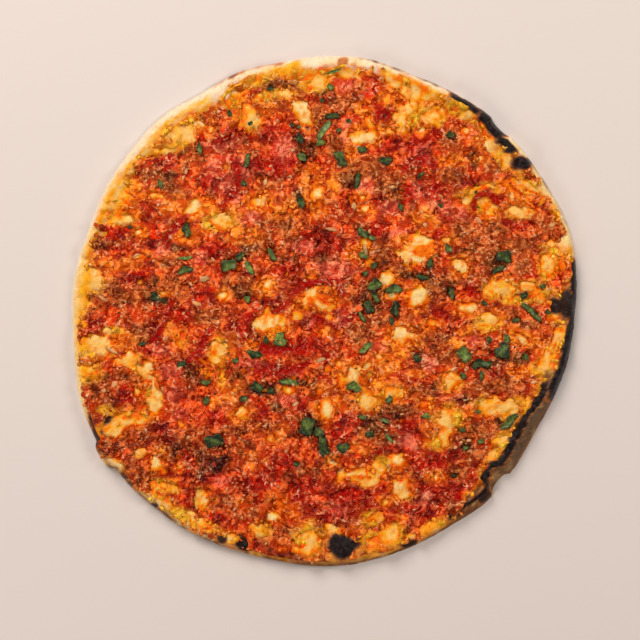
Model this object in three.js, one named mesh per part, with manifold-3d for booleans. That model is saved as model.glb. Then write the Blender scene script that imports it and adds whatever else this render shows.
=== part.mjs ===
// A lahmacun: a thin round flatbread with a blistered, partly charred rim, a thin layer of spiced mince and tomato
// baked on it, broken by bare blisters of dough, and torn parsley on top.
// Millimetres, +Z up. The origin is the middle of the bread's footprint, on the surface that it lies on.

import * as THREE from "three";
import { mergeVertices } from "three/addons/utils/BufferGeometryUtils.js";
import Module from "manifold-3d";

// ---- Driving dimensions ----

const DOUGH_THICKNESS = 2.8; // under the topping
const TOPPING_THICKNESS = 2.3; // over the dough
const GAP = 0.3; // between neighbouring pieces
const EDGE_HEIGHT = 1.5; // of the rim's widest line above the surface below
const UNDERCUT = 1.2; // how far the underside's edge is rounded in
const RIM_FALL = 8; // the width of the rim's inner flank

// The rim, a row each 10 degrees anticlockwise from +X: the bread's radius, the height of the rim's crest, the crest's
// distance in from the edge, and how far in from the edge the topping begins.
const RIM = [
  [150.0, 7.0, 4.5, 10],
  [152.8, 6.0, 3.5, 5],
  [154.3, 4.6, 3.5, 4],
  [152.7, 5.2, 4.0, 5],
  [152.6, 6.4, 4.5, 8],
  [153.2, 6.6, 4.5, 9],
  [151.9, 6.0, 4.0, 7],
  [151.1, 4.8, 3.5, 4],
  [153.3, 5.0, 4.0, 6],
  [152.9, 5.2, 5.0, 9],
  [151.7, 4.8, 5.0, 7],
  [152.4, 5.2, 5.0, 7],
  [150.3, 5.6, 6.0, 10],
  [152.3, 5.4, 5.0, 8],
  [151.4, 5.2, 5.0, 8],
  [151.1, 4.8, 4.5, 6],
  [150.3, 4.2, 3.5, 4],
  [151.6, 4.4, 3.5, 5],
  [152.0, 4.6, 4.0, 7],
  [153.3, 4.6, 4.0, 5],
  [157.0, 4.8, 4.0, 6],
  [158.3, 5.0, 4.0, 7],
  [157.8, 5.0, 4.0, 6],
  [156.6, 4.8, 3.5, 6],
  [155.8, 4.6, 3.5, 5],
  [153.9, 5.2, 3.5, 5],
  [153.3, 4.6, 3.0, 3],
  [153.9, 5.2, 4.0, 7],
  [152.8, 5.4, 4.0, 7],
  [151.2, 5.2, 3.5, 5],
  [149.8, 6.0, 5.0, 7],
  [150.3, 7.6, 8.0, 11],
  [147.8, 8.4, 9.0, 13],
  [145.6, 8.6, 9.0, 12],
  [147.1, 8.0, 7.5, 10],
  [148.9, 7.6, 5.0, 7],
];

// Torn corners and a bulge of the rim: the angle, half the width in degrees, and how far the edge lies in.
const NICKS = [
  [46.3, 3.0, 2.0],
  [213.3, 3.6, -3.2],
  [315.3, 3.2, 3.3],
];

// Bare dough that shows through the topping: place, half the length, half the width, turn in degrees, and how far the
// dough rises there in a blister.
const BLISTERS = [
  [-14.5, 119.5, 10.5, 4.5, -58, 2.2],
  [-5, 137, 5.5, 5.5, 0, 1.5],
  [47, 113, 5, 7.5, 10, 3.0],
  [24, 104, 8, 4.5, -15, 1.5],
  [94, 66, 11.5, 7, -20, 2.5],
  [119, 65, 8.5, 8, 0, 2.0],
  [99, 99, 6.5, 4.5, -10, 2.5],
  [109, 91, 4.5, 6, 0, 2.0],
  [66, 118, 6.5, 4.5, 20, 1.0],
  [-124, 68, 6.5, 9, 20, 2.0],
  [-85, 106, 8, 5, 35, 1.0],
  [-45, 115, 4.5, 8.5, 15, 1.5],
  [-64, 52.5, 8.5, 4.5, 5, 1.5],
  [-80, 61, 7, 4, 45, 1.5],
  [-5, 70, 5, 8, -15, 1.5],
  [-40, 66, 7.5, 4.5, 10, 1.0],
  [56, 37, 8.5, 8, 0, 3.0],
  [81, 26.5, 6, 4.5, -30, 2.0],
  [106, 14, 9, 5.5, 5, 1.0],
  [85, 1.5, 7, 4, 5, 2.5],
  [98, -6, 6, 6, 0, 2.5],
  [55, 8, 6.5, 7.5, 0, 3.0],
  [38, 18.5, 4.5, 4.5, 0, 2.5],
  [48, -15.5, 8.5, 6.5, -20, 2.5],
  [75, -43, 5.5, 5, 30, 2.0],
  [17, -39.5, 8.5, 7.5, 15, 3.0],
  [39, -50, 7, 4.5, -10, 1.5],
  [1, -60, 5.5, 6.5, 10, 2.5],
  [25, -55, 6, 5, 0, 1.5],
  [-31, -7.5, 9.5, 6, 20, 3.2],
  [-6, 7, 15, 7, 5, 2.5],
  [-36, 14, 5.5, 5, 35, 2.5],
  [-64, -24, 4.5, 7, 15, 2.5],
  [-107, -37, 7.5, 3.6, -45, 1.5],
  [-102, -52, 4, 9, 5, 2.0],
  [-127, -70, 9, 5.5, 15, 2.0],
  [-101, -91, 5, 7, 0, 1.5],
  [-73, -114, 4.5, 6.5, -10, 1.5],
  [-50, -62, 5, 5, 0, 1.5],
  [20, -99, 11, 4.5, -5, 2.0],
  [43, -92, 6.5, 6, 30, 3.0],
  [45, -105, 5.5, 6.5, -10, 2.5],
  [75, -66, 7.5, 7.5, 0, 2.0],
  [100, -58, 8, 5, 0, 1.5],
  [-32, -124, 6, 4.5, 0, 1.5],
  [-10, -140, 7, 7.5, 0, 2.0],
  [40, -135, 6.5, 6.5, 0, 2.5],
  [62, -132, 7, 4.5, 15, 2.0],
  [-133, -21, 8.5, 6, 25, 1.5],
  [-139, 20, 7, 6.5, 0, 1.5],
  [134, 28, 5, 6.5, 0, 2.0],
  [133, -35, 6.5, 6, 0, 1.5],
  [118, -17, 5.5, 4, -45, 2.0],
  [9, -141, 10, 9, 0, 4.6], // the burnt blister on the rim
  [118, 88, 6.5, 5.5, 20, 3.0],
  [141, 4, 6, 7, 0, 2.4],
];

// Parsley, a node each: place, length, width, turn in degrees, and the bluntness of its ends (2 a pointed leaf, 8 a
// shred or a stem).
const PARSLEY = [
  [4, 116.5, 9, 3, 0, 8],
  [-1, 108, 14, 3.4, 57, 8],
  [9, 91, 11, 6.5, -40, 2],
  [36, 90, 8, 5, 10, 2],
  [19, 78, 10, 3, 80, 5],
  [-47, 90, 9, 2.8, 75, 8],
  [-83, 48, 10, 5, 90, 2],
  [-84, 24, 10, 4.2, 15, 4],
  [-58, 27, 10, 7, 40, 3],
  [-32, 33.5, 9, 3, -55, 5],
  [-45.5, 25.5, 9.5, 3.2, -60, 8],
  [22.5, 46.5, 8, 4.4, -50, 4],
  [29.5, 15, 9, 6.5, 10, 3],
  [41, 12.5, 11, 5, 5, 3],
  [42, 1, 10, 5, 95, 3],
  [26, 2, 8, 5.5, -40, 3],
  [-27, -17.5, 8.5, 7, -60, 4],
  [-42.5, -26, 10, 4.4, -20, 3],
  [24, -22.5, 9.5, 3.6, 30, 4],
  [-22, -43, 12, 3.4, -8, 6],
  [17, -46, 9, 5.5, -10, 4],
  [-11, -69.5, 11, 9.5, -70, 3],
  [-1, -80.5, 13, 5, -65, 3],
  [10.5, -82, 8, 5.5, 0, 4],
  [-67, -78, 12, 8, -15, 3],
  [107, 32, 10, 7.5, -30, 3],
  [123.5, -1, 16, 3.2, -42, 8],
  [83, -26.5, 9.5, 7.5, -20, 4],
  [94.5, -31.5, 11, 4, -5, 4],
  [106, -24, 10, 9, 40, 3],
  [110, -66.5, 14, 4.2, 40, 3],
];
const PARSLEY_THICKNESS = 0.6;
const PARSLEY_TIP = 0.16; // the width of a leaf's ends, as a share of its full width
const PARSLEY_WAVE = 0.5;

const FLECKS = 30; // small bits of parsley and onion, fused to the topping
const FLECK_REACH = 132; // from the middle to the furthest one
const FLECK_RADIUS = [1.6, 2.8];
const FLECK_THICKNESS = 1.0;
const FLECK_SIDES = 6;
const FLECK_LEAST_WIDTH = 0.55; // as a share of its length
const FLECK_CLEARANCE = 1; // to the parsley

// Unevenness: how much it reaches either way, how long its waves are, and a shift that makes each one its own.
const UNEVEN_FLOOR = [0.25, 45, 2.1];
const UNEVEN_CREST = [0.5, 17, 0.4];
const UNEVEN_SPREAD = [1.6, 12, 3.1]; // of the topping's outer edge, across it
const UNEVEN_BLISTER = [0.14, 11, 1.3]; // of a blister's outline, as a share of its size
const CLUMPS = [
  [0.55, 15, 0.9],
  [0.45, 7.5, 1.7],
];
const LUMPS = 0.35; // how far single lumps of mince stand up or lie low

// ---- Fineness of the meshes ----

const RINGS = 20; // of points across the bread's flat inside
const RIM_INSETS = [14, 10, 7, 4.5, 2.2, 0]; // distances in from the edge of the rim's own rings
const TOPPING_INSETS = RIM_INSETS.slice(0, 4);
const PARSLEY_STEPS = [4, 2]; // along and across a leaf
const SEED = 20;

// ---- Small helpers ----

const TURN = 2 * Math.PI;
const DEGREES = 180 / Math.PI;
const radians = (degrees) => degrees / DEGREES;
const mix = (a, b, share) => a + (b - a) * share;
const clamp01 = (value) => Math.min(1, Math.max(0, value));
const smooth = (from, to, value) => {
  const share = clamp01((value - from) / (to - from));
  return share * share * (3 - 2 * share);
};

// Numbers between 0 and 1, the same in each run.
function seededRandom(seed) {
  const range = 2 ** 32;
  let state = seed;
  return () => {
    state = (state * 1664525 + 1013904223) % range;
    return state / range;
  };
}

// A gentle unevenness: the sum of four crossing waves, each a little longer than the last.
const WAVES = 4;
const WAVE_STRETCH = 0.27;
const GOLDEN_ANGLE = 2.4;
function uneven([reach, length, shift], x, y) {
  let sum = 0;
  for (let wave = 0; wave < WAVES; wave += 1) {
    const direction = shift + wave * GOLDEN_ANGLE;
    const along = x * Math.cos(direction) + y * Math.sin(direction);
    sum += Math.sin((TURN * along) / (length * (1 + WAVE_STRETCH * wave)) + shift * (wave + 2));
  }
  return (reach * sum) / WAVES;
}

// ---- The bread's form ----

// The columns of the RIM table.
const [RADIUS, CREST, CREST_INSET, BARE_WIDTH] = [0, 1, 2, 3];

// One column at an angle in radians, on a smooth curve through the rows.
function alongRim(angle, column) {
  const place = ((((angle / TURN) % 1) + 1) % 1) * RIM.length;
  const row = Math.floor(place);
  const t = place - row;
  const [a, b, c, d] = [-1, 0, 1, 2].map((step) => RIM[(row + step + RIM.length) % RIM.length][column]);
  return b + 0.5 * t * (c - a + t * (2 * a - 5 * b + 4 * c - d + t * (3 * (b - c) + d - a)));
}

function edgeRadius(angle) {
  let radius = alongRim(angle, RADIUS);
  for (const [middle, halfWidth, depth] of NICKS) {
    const away = ((angle * DEGREES - middle + 540) % 360) - 180;
    radius -= depth * Math.max(0, 1 - (away / halfWidth) ** 4);
  }
  return radius;
}

// How far a point lies from a blister's middle, as a share of the blister's size: 1 on its uneven outline.
function blisterShare(x, y, [atX, atY, halfLength, halfWidth, turn]) {
  const cos = Math.cos(radians(turn));
  const sin = Math.sin(radians(turn));
  const along = ((x - atX) * cos + (y - atY) * sin) / halfLength;
  const across = ((y - atY) * cos - (x - atX) * sin) / halfWidth;
  return Math.hypot(along, across) * (1 + uneven(UNEVEN_BLISTER, x, y));
}

// The highest rise, and the fullest clearing of topping, of all blisters at a point.
const [BARE_WITHIN, COVERED_FROM, BLISTER_ENDS] = [0.85, 1.2, 2]; // shares of a blister's size
const BLISTER_FALL = 0.7; // a blister's height falls as exp(-BLISTER_FALL * share³)
function blistersAt(x, y) {
  let rise = 0;
  let bare = 0;
  for (const blister of BLISTERS) {
    const share = blisterShare(x, y, blister);
    if (share > BLISTER_ENDS) continue;
    const height = blister.at(-1);
    rise = Math.max(rise, height * Math.exp(-BLISTER_FALL * share ** 3));
    bare = Math.max(bare, 1 - smooth(BARE_WITHIN, COVERED_FROM, share));
  }
  return { rise, bare };
}

// The rim swells from its edge to its crest and falls to the flat inside. A blister near the edge keeps off it.
const BLISTER_EDGE = 3;
const SWELL_FULLNESS = 0.8; // under 1 the rim rises more steeply at its edge
function doughTop(x, y) {
  const angle = Math.atan2(y, x);
  const inset = edgeRadius(angle) - Math.hypot(x, y);
  const crest = alongRim(angle, CREST) + uneven(UNEVEN_CREST, x, y);
  const crestInset = alongRim(angle, CREST_INSET);
  const floor = DOUGH_THICKNESS + uneven(UNEVEN_FLOOR, x, y);
  const swell = Math.sin((Math.PI / 2) * clamp01(inset / crestInset) ** SWELL_FULLNESS);
  const rim =
    inset < crestInset
      ? mix(EDGE_HEIGHT, crest, swell)
      : mix(crest, floor, smooth(crestInset, crestInset + RIM_FALL, inset));
  return rim + blistersAt(x, y).rise * smooth(0, BLISTER_EDGE, inset);
}

// Where there is no topping, its surface runs buried in the dough. It rises out over SPREAD_EDGE.
const BURIED = -1.5;
const SPREAD_EDGE = [-1.5, 2.5];
function toppingTop(x, y) {
  const angle = Math.atan2(y, x);
  const inset = edgeRadius(angle) - Math.hypot(x, y);
  const begins = alongRim(angle, BARE_WIDTH) + uneven(UNEVEN_SPREAD, x, y);
  const [from, to] = SPREAD_EDGE.map((offset) => begins + offset);
  const cover = smooth(from, to, inset) * (1 - blistersAt(x, y).bare);
  const clumps = CLUMPS.reduce((sum, clump) => sum + uneven(clump, x, y), 0);
  return doughTop(x, y) + mix(BURIED, TOPPING_THICKNESS + clumps, cover);
}

// ---- Meshes from heights ----

// Points and triangles over the bread's outline: rings of 6, 12, 18 ... points, then the insets' rings, all as full as
// the last one.
function discGrid(rings, insets) {
  const points = [{ x: 0, y: 0 }];
  const triangles = [];
  const starts = [0];
  const addRing = (count, radiusAt) => {
    starts.push(points.length);
    for (let i = 0; i < count; i += 1) {
      const angle = (TURN * i) / count;
      const radius = radiusAt(angle);
      points.push({ x: radius * Math.cos(angle), y: radius * Math.sin(angle) });
    }
  };
  for (let ring = 1; ring <= rings; ring += 1) {
    const count = 6 * ring;
    addRing(count, (angle) => ((edgeRadius(angle) - insets[0]) * ring) / rings);
    const inner = (i) => (ring === 1 ? 0 : starts[ring - 1] + (i % (count - 6)));
    const outer = (i) => starts[ring] + (i % count);
    for (let sector = 0; sector < 6; sector += 1) {
      for (let i = 0; i < ring; i += 1) {
        const out = sector * ring + i;
        const inn = sector * (ring - 1) + i;
        triangles.push([inner(inn), outer(out), outer(out + 1)]);
        if (i < ring - 1) triangles.push([inner(inn), outer(out + 1), inner(inn + 1)]);
      }
    }
  }
  const count = 6 * rings;
  for (let ring = 1; ring < insets.length; ring += 1) {
    addRing(count, (angle) => edgeRadius(angle) - insets[ring]);
    const last = starts.length - 1;
    for (let i = 0; i < count; i += 1) {
      const next = (i + 1) % count;
      triangles.push([starts[last - 1] + i, starts[last] + i, starts[last] + next]);
      triangles.push([starts[last - 1] + i, starts[last] + next, starts[last - 1] + next]);
    }
  }
  return { points, triangles, edge: points.length - count };
}

// A closed solid: the grid's points at their heights, a wall down from its edge, and a flat underside at `bottom`, whose
// edge lies `undercut` further in.
function solidUnder(grid, heightOf, bottom, undercut) {
  const { points, triangles, edge } = grid;
  const vertices = points.map((point, i) => [point.x, point.y, heightOf(point, i)]);
  const faces = triangles.slice();
  const count = points.length - edge;
  const foot = vertices.length;
  for (let i = 0; i < count; i += 1) {
    const { x, y } = points[edge + i];
    const shrink = 1 - undercut / Math.hypot(x, y);
    vertices.push([x * shrink, y * shrink, bottom]);
  }
  const middle = vertices.push([0, 0, bottom]) - 1;
  for (let i = 0; i < count; i += 1) {
    const next = (i + 1) % count;
    faces.push([edge + i, foot + i, foot + next], [edge + i, foot + next, edge + next]);
    faces.push([middle, foot + next, foot + i]);
  }
  return geometryOf(vertices, faces);
}

function geometryOf(vertices, faces) {
  const geometry = new THREE.BufferGeometry();
  geometry.setAttribute("position", new THREE.Float32BufferAttribute(vertices.flat(), 3));
  geometry.setIndex(faces.flat());
  return geometry;
}

// ---- Joining and cutting ----

const wasm = await Module();
wasm.setup();
const MERGE_WITHIN = 1e-4;

function toSolid(geometry) {
  const merged = mergeVertices(geometry, MERGE_WITHIN);
  return new wasm.Manifold(
    new wasm.Mesh({
      numProp: 3,
      vertProperties: merged.attributes.position.array,
      triVerts: new Uint32Array(merged.index.array),
    }),
  );
}

function toGeometry(solid) {
  const mesh = solid.getMesh();
  const geometry = new THREE.BufferGeometry();
  geometry.setAttribute("position", new THREE.BufferAttribute(mesh.vertProperties, mesh.numProp));
  geometry.setIndex(new THREE.BufferAttribute(mesh.triVerts, 1));
  return geometry;
}

const largestBody = (solid) =>
  solid.decompose().reduce((kept, body) => (body.volume() > kept.volume() ? body : kept));

// ---- The pieces ----

const random = seededRandom(SEED);
const breadGrid = discGrid(RINGS, RIM_INSETS);
const doughHeights = breadGrid.points.map(({ x, y }) => doughTop(x, y));
const doughGeometry = solidUnder(breadGrid, (_, i) => doughHeights[i], 0, UNDERCUT);

// The topping is a spread that reaches down into the dough, less the dough raised by the gap between them.
function makeTopping() {
  const lumpyTop = ({ x, y }) => toppingTop(x, y) + LUMPS * (2 * random() - 1);
  const spread = solidUnder(discGrid(RINGS, TOPPING_INSETS), lumpyTop, DOUGH_THICKNESS / 2, 0);
  const raisedDough = solidUnder(breadGrid, (_, i) => doughHeights[i] + GAP, -1, 0);
  return largestBody(toSolid(spread).subtract(toSolid(raisedDough)));
}

// The height of a piece's upper surface at a place, or null beside it.
function surfaceOf(geometry) {
  const target = new THREE.Mesh(geometry, new THREE.MeshBasicMaterial({ side: THREE.DoubleSide }));
  target.updateMatrixWorld(true);
  const above = 100;
  const down = new THREE.Vector3(0, 0, -1);
  const caster = new THREE.Raycaster();
  return (x, y) => {
    caster.set(new THREE.Vector3(x, y, above), down);
    const hits = caster.intersectObject(target);
    return hits.length ? hits[0].point.z : null;
  };
}

// A small flat bit with a many-sided outline, half sunk where it lies.
function fleckGeometry(x, y, z, radius) {
  const vertices = [];
  const faces = [];
  const turn = random() * TURN;
  const stretch = mix(FLECK_LEAST_WIDTH, 1, random());
  for (let i = 0; i < FLECK_SIDES; i += 1) {
    const angle = (TURN * i) / FLECK_SIDES;
    const along = radius * Math.cos(angle);
    const across = radius * stretch * Math.sin(angle);
    const px = x + along * Math.cos(turn) - across * Math.sin(turn);
    const py = y + along * Math.sin(turn) + across * Math.cos(turn);
    vertices.push([px, py, z - FLECK_THICKNESS], [px, py, z + FLECK_THICKNESS / 2]);
  }
  for (let i = 0; i < FLECK_SIDES; i += 1) {
    const low = 2 * i;
    const next = 2 * ((i + 1) % FLECK_SIDES);
    faces.push([low, next, next + 1], [low, next + 1, low + 1]);
    if (i > 0 && i < FLECK_SIDES - 1) faces.push([0, next, low], [1, low + 1, next + 1]);
  }
  return geometryOf(vertices, faces);
}

// Flecks at even spacing over the topping, clear of the leaves: those that would hang over a bare patch are left out.
function addFlecks(topping) {
  const heightAt = surfaceOf(toGeometry(topping));
  let joined = topping;
  for (let i = 0; i < FLECKS; i += 1) {
    const reach = FLECK_REACH * Math.sqrt((i + 0.5) / FLECKS);
    const angle = i * GOLDEN_ANGLE;
    const x = reach * Math.cos(angle);
    const y = reach * Math.sin(angle);
    const radius = mix(...FLECK_RADIUS, random());
    const clear = PARSLEY.every(
      ([px, py, length]) => Math.hypot(x - px, y - py) > length / 2 + radius + FLECK_CLEARANCE,
    );
    const height = heightAt(x, y);
    const cover = height !== null && height > doughTop(x, y) + TOPPING_THICKNESS / 2;
    const fleck = fleckGeometry(x, y, height ?? 0, radius);
    if (clear && cover) joined = joined.add(toSolid(fleck));
  }
  return joined;
}

// A thin leaf draped over what lies below: both faces split alike, a wave across it, its lowest clearance GAP.
const [WAVE_ALONG, WAVE_ACROSS] = [2.6, 1.9]; // radians from the middle to an end or a side
const FINE_STEPS = 6; // between a leaf's points, where its clearance is tried
function leafGeometry([atX, atY, length, width, turn, bluntness], heightAt) {
  const [steps, lanes] = PARSLEY_STEPS;
  const cos = Math.cos(radians(turn));
  const sin = Math.sin(radians(turn));
  const placeOf = (s, t) => {
    const along = (s * length) / 2;
    const across = (t * width * Math.max(PARSLEY_TIP, 1 - Math.abs(s) ** bluntness)) / 2;
    return [atX + along * cos - across * sin, atY + along * sin + across * cos];
  };
  const ground = (s, t) => {
    const [x, y] = placeOf(s, t);
    return heightAt(x, y) ?? doughTop(x, y);
  };
  const grid = [];
  for (let i = 0; i <= steps; i += 1) {
    for (let j = 0; j <= lanes; j += 1) {
      const s = (2 * i) / steps - 1;
      const t = (2 * j) / lanes - 1;
      const wave = PARSLEY_WAVE * Math.sin(WAVE_ALONG * s + WAVE_ACROSS * t + atX);
      grid.push({ s, t, z: ground(s, t) + Math.max(0, wave) });
    }
  }
  const at = (i, j) => i * (lanes + 1) + j;
  // The leaf is lifted until nothing between its corners stands through it.
  let lift = GAP;
  for (let i = 0; i < steps * FINE_STEPS; i += 1) {
    for (let j = 0; j <= lanes * FINE_STEPS; j += 1) {
      const [cellI, cellJ] = [Math.floor(i / FINE_STEPS), Math.min(lanes - 1, Math.floor(j / FINE_STEPS))];
      const [u, v] = [i / FINE_STEPS - cellI, j / FINE_STEPS - cellJ];
      const low = mix(grid[at(cellI, cellJ)].z, grid[at(cellI, cellJ + 1)].z, v);
      const high = mix(grid[at(cellI + 1, cellJ)].z, grid[at(cellI + 1, cellJ + 1)].z, v);
      const below = ground((2 * i) / (steps * FINE_STEPS) - 1, (2 * j) / (lanes * FINE_STEPS) - 1);
      lift = Math.max(lift, below + GAP - mix(low, high, u));
    }
  }
  const vertices = [];
  for (const side of [lift, lift + PARSLEY_THICKNESS]) {
    for (const { s, t, z } of grid) vertices.push([...placeOf(s, t), z + side]);
  }
  const upper = grid.length;
  const faces = [];
  const addQuad = (a, b, c, d) => faces.push([a, b, c], [a, c, d]);
  for (let i = 0; i < steps; i += 1) {
    for (let j = 0; j < lanes; j += 1) {
      const corners = [at(i, j), at(i + 1, j), at(i + 1, j + 1), at(i, j + 1)];
      addQuad(...corners.map((corner) => corner + upper));
      faces.push([corners[0], corners[2], corners[1]], [corners[0], corners[3], corners[2]]);
    }
    addQuad(at(i, 0), at(i + 1, 0), at(i + 1, 0) + upper, at(i, 0) + upper);
    addQuad(at(i + 1, lanes), at(i, lanes), at(i, lanes) + upper, at(i + 1, lanes) + upper);
  }
  for (let j = 0; j < lanes; j += 1) {
    addQuad(at(0, j + 1), at(0, j), at(0, j) + upper, at(0, j + 1) + upper);
    addQuad(at(steps, j), at(steps, j + 1), at(steps, j + 1) + upper, at(steps, j) + upper);
  }
  return geometryOf(vertices, faces);
}

// ---- Materials ----

const doughMaterial = new THREE.MeshStandardMaterial({ color: 0xe3bf86, roughness: 0.75, metalness: 0 });
const toppingMaterial = new THREE.MeshStandardMaterial({ color: 0xa8401c, roughness: 0.45, metalness: 0 });
const parsleyMaterial = new THREE.MeshStandardMaterial({ color: 0x4a6b35, roughness: 0.6, metalness: 0 });

// ---- The whole ----

const lahmacun = new THREE.Group();
const addMesh = (name, geometry, material) => {
  const mesh = new THREE.Mesh(geometry, material);
  mesh.name = name;
  lahmacun.add(mesh);
};

const topping = addFlecks(makeTopping());
const toppingGeometry = toGeometry(topping);
addMesh("dough", doughGeometry, doughMaterial);
addMesh("meat_topping", toppingGeometry, toppingMaterial);

const upperSurface = surfaceOf(toGeometry(topping.add(toSolid(doughGeometry))));
PARSLEY.forEach((leaf, i) => {
  addMesh(`parsley_${String(i + 1).padStart(2, "0")}`, leafGeometry(leaf, upperSurface), parsleyMaterial);
});

// The outline is uneven, so its box's middle is brought to the origin.
doughGeometry.computeBoundingBox();
const middle = doughGeometry.boundingBox.getCenter(new THREE.Vector3());
lahmacun.position.set(-middle.x, -middle.y, 0);

export default lahmacun;
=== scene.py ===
"""A lahmacun on a plain pale floor: baked dough, a spread of spiced mince and tomato, and torn parsley.

Plan places and sizes are in millimetres about the middle of the bread's circle, and finished meshes are in
metres about the middle of its box. Left and right, upper and lower are as seen from above, with +Y up.
"""

import math

import bpy
import numpy as np
from bpy.props import FloatProperty, FloatVectorProperty, IntProperty, PointerProperty
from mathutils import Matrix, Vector


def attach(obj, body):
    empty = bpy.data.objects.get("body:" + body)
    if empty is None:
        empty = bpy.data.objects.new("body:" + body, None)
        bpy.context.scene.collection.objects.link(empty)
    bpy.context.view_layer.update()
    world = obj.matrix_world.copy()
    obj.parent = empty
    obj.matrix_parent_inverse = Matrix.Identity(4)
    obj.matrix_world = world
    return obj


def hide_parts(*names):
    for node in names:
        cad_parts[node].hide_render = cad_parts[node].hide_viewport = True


bl_info = {
    "name": "Lahmacun",
    "version": (1, 0, 0),
    "blender": (4, 5, 0),
    "location": "3D View > Sidebar > Lahmacun",
    "description": "Makes a baked flatbread with mince, tomato and parsley",
    "category": "Add Mesh",
}

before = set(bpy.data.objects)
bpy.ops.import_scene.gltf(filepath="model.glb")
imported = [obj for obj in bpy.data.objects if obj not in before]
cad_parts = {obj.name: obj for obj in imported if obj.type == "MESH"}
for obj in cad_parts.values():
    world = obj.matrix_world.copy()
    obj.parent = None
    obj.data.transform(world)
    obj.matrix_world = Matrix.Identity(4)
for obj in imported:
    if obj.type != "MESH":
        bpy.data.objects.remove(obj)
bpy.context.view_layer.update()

MM = 0.001
TURN = 2 * math.pi
SEED = 20
BREAD_REACH = 160  # no part of the bread lies further out

# ---- The bread's form, as in the solids ----

EDGE_HEIGHT = 1.5  # of the rim's widest line above the floor
RIM_FALL = 8  # the width of the rim's inner flank
SWELL_FULLNESS = 0.8
BURIED = -1.5  # the spread's surface against the dough's, where there is no topping
SHEET_FLOOR = 1.4  # the spread's underside, within the dough
SHEET_INSET = 3.2  # from the bread's edge to the outline of the spread's mesh
GAP_WIDENED = 0.9  # added to each small gap, since its ragged outline takes some away
GAP_RISE, LACE_RISE = 1.6, 1.8  # of the dough in small gaps, and where it shows as lace
BLISTER_ORANGE = 0.05

# The dough's side from its widest line down: the share of the outline and the height at each step.
SIDE = [(1.0, 0.75), (0.997, 0.15), (0.992, 0.0)]
UNDERSIDE = np.linspace(0.93, 0.02, 12)  # the steps across the underside, as shares of the outline

# The rim, a row each 10 degrees anticlockwise from +X: the radius, the crest's height, the crest's
# distance in from the edge, and how far in from the edge the topping begins.
RIM = np.array([
    (150.0, 7.0, 4.5, 10), (152.8, 6.0, 3.5, 5), (154.3, 4.6, 3.5, 4), (152.7, 5.2, 4.0, 5),
    (152.6, 6.4, 4.5, 8), (153.2, 6.6, 4.5, 9), (151.9, 6.0, 4.0, 7), (151.1, 4.8, 3.5, 4),
    (153.3, 5.0, 4.0, 6), (152.9, 5.2, 5.0, 9), (151.7, 4.8, 5.0, 7), (152.4, 5.2, 5.0, 7),
    (150.3, 5.6, 6.0, 10), (152.3, 5.4, 5.0, 8), (151.4, 5.2, 5.0, 8), (151.1, 4.8, 4.5, 6),
    (150.3, 4.2, 3.5, 4), (151.6, 4.4, 3.5, 5), (152.0, 4.6, 4.0, 7), (153.3, 4.6, 4.0, 5),
    (157.0, 4.8, 4.0, 6), (158.3, 5.0, 4.0, 7), (157.8, 5.0, 4.0, 6), (156.6, 4.8, 3.5, 6),
    (155.8, 4.6, 3.5, 5), (153.9, 5.2, 3.5, 5), (153.3, 4.6, 3.0, 3), (153.9, 5.2, 4.0, 7),
    (152.8, 5.4, 4.0, 7), (151.2, 5.2, 3.5, 5), (149.8, 6.0, 5.0, 7), (150.3, 7.6, 8.0, 11),
    (147.8, 8.4, 9.0, 13), (145.6, 8.6, 9.0, 12), (147.1, 8.0, 7.5, 10), (148.9, 7.6, 5.0, 7),
])
RADIUS, CREST, CREST_INSET, BARE_WIDTH = range(4)

# Torn corners and a bulge of the rim: the angle, half the width in degrees, how far the edge lies in.
NICKS = [(46.3, 3.0, 2.0), (213.3, 3.6, -3.2), (315.3, 3.2, 3.3)]

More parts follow.
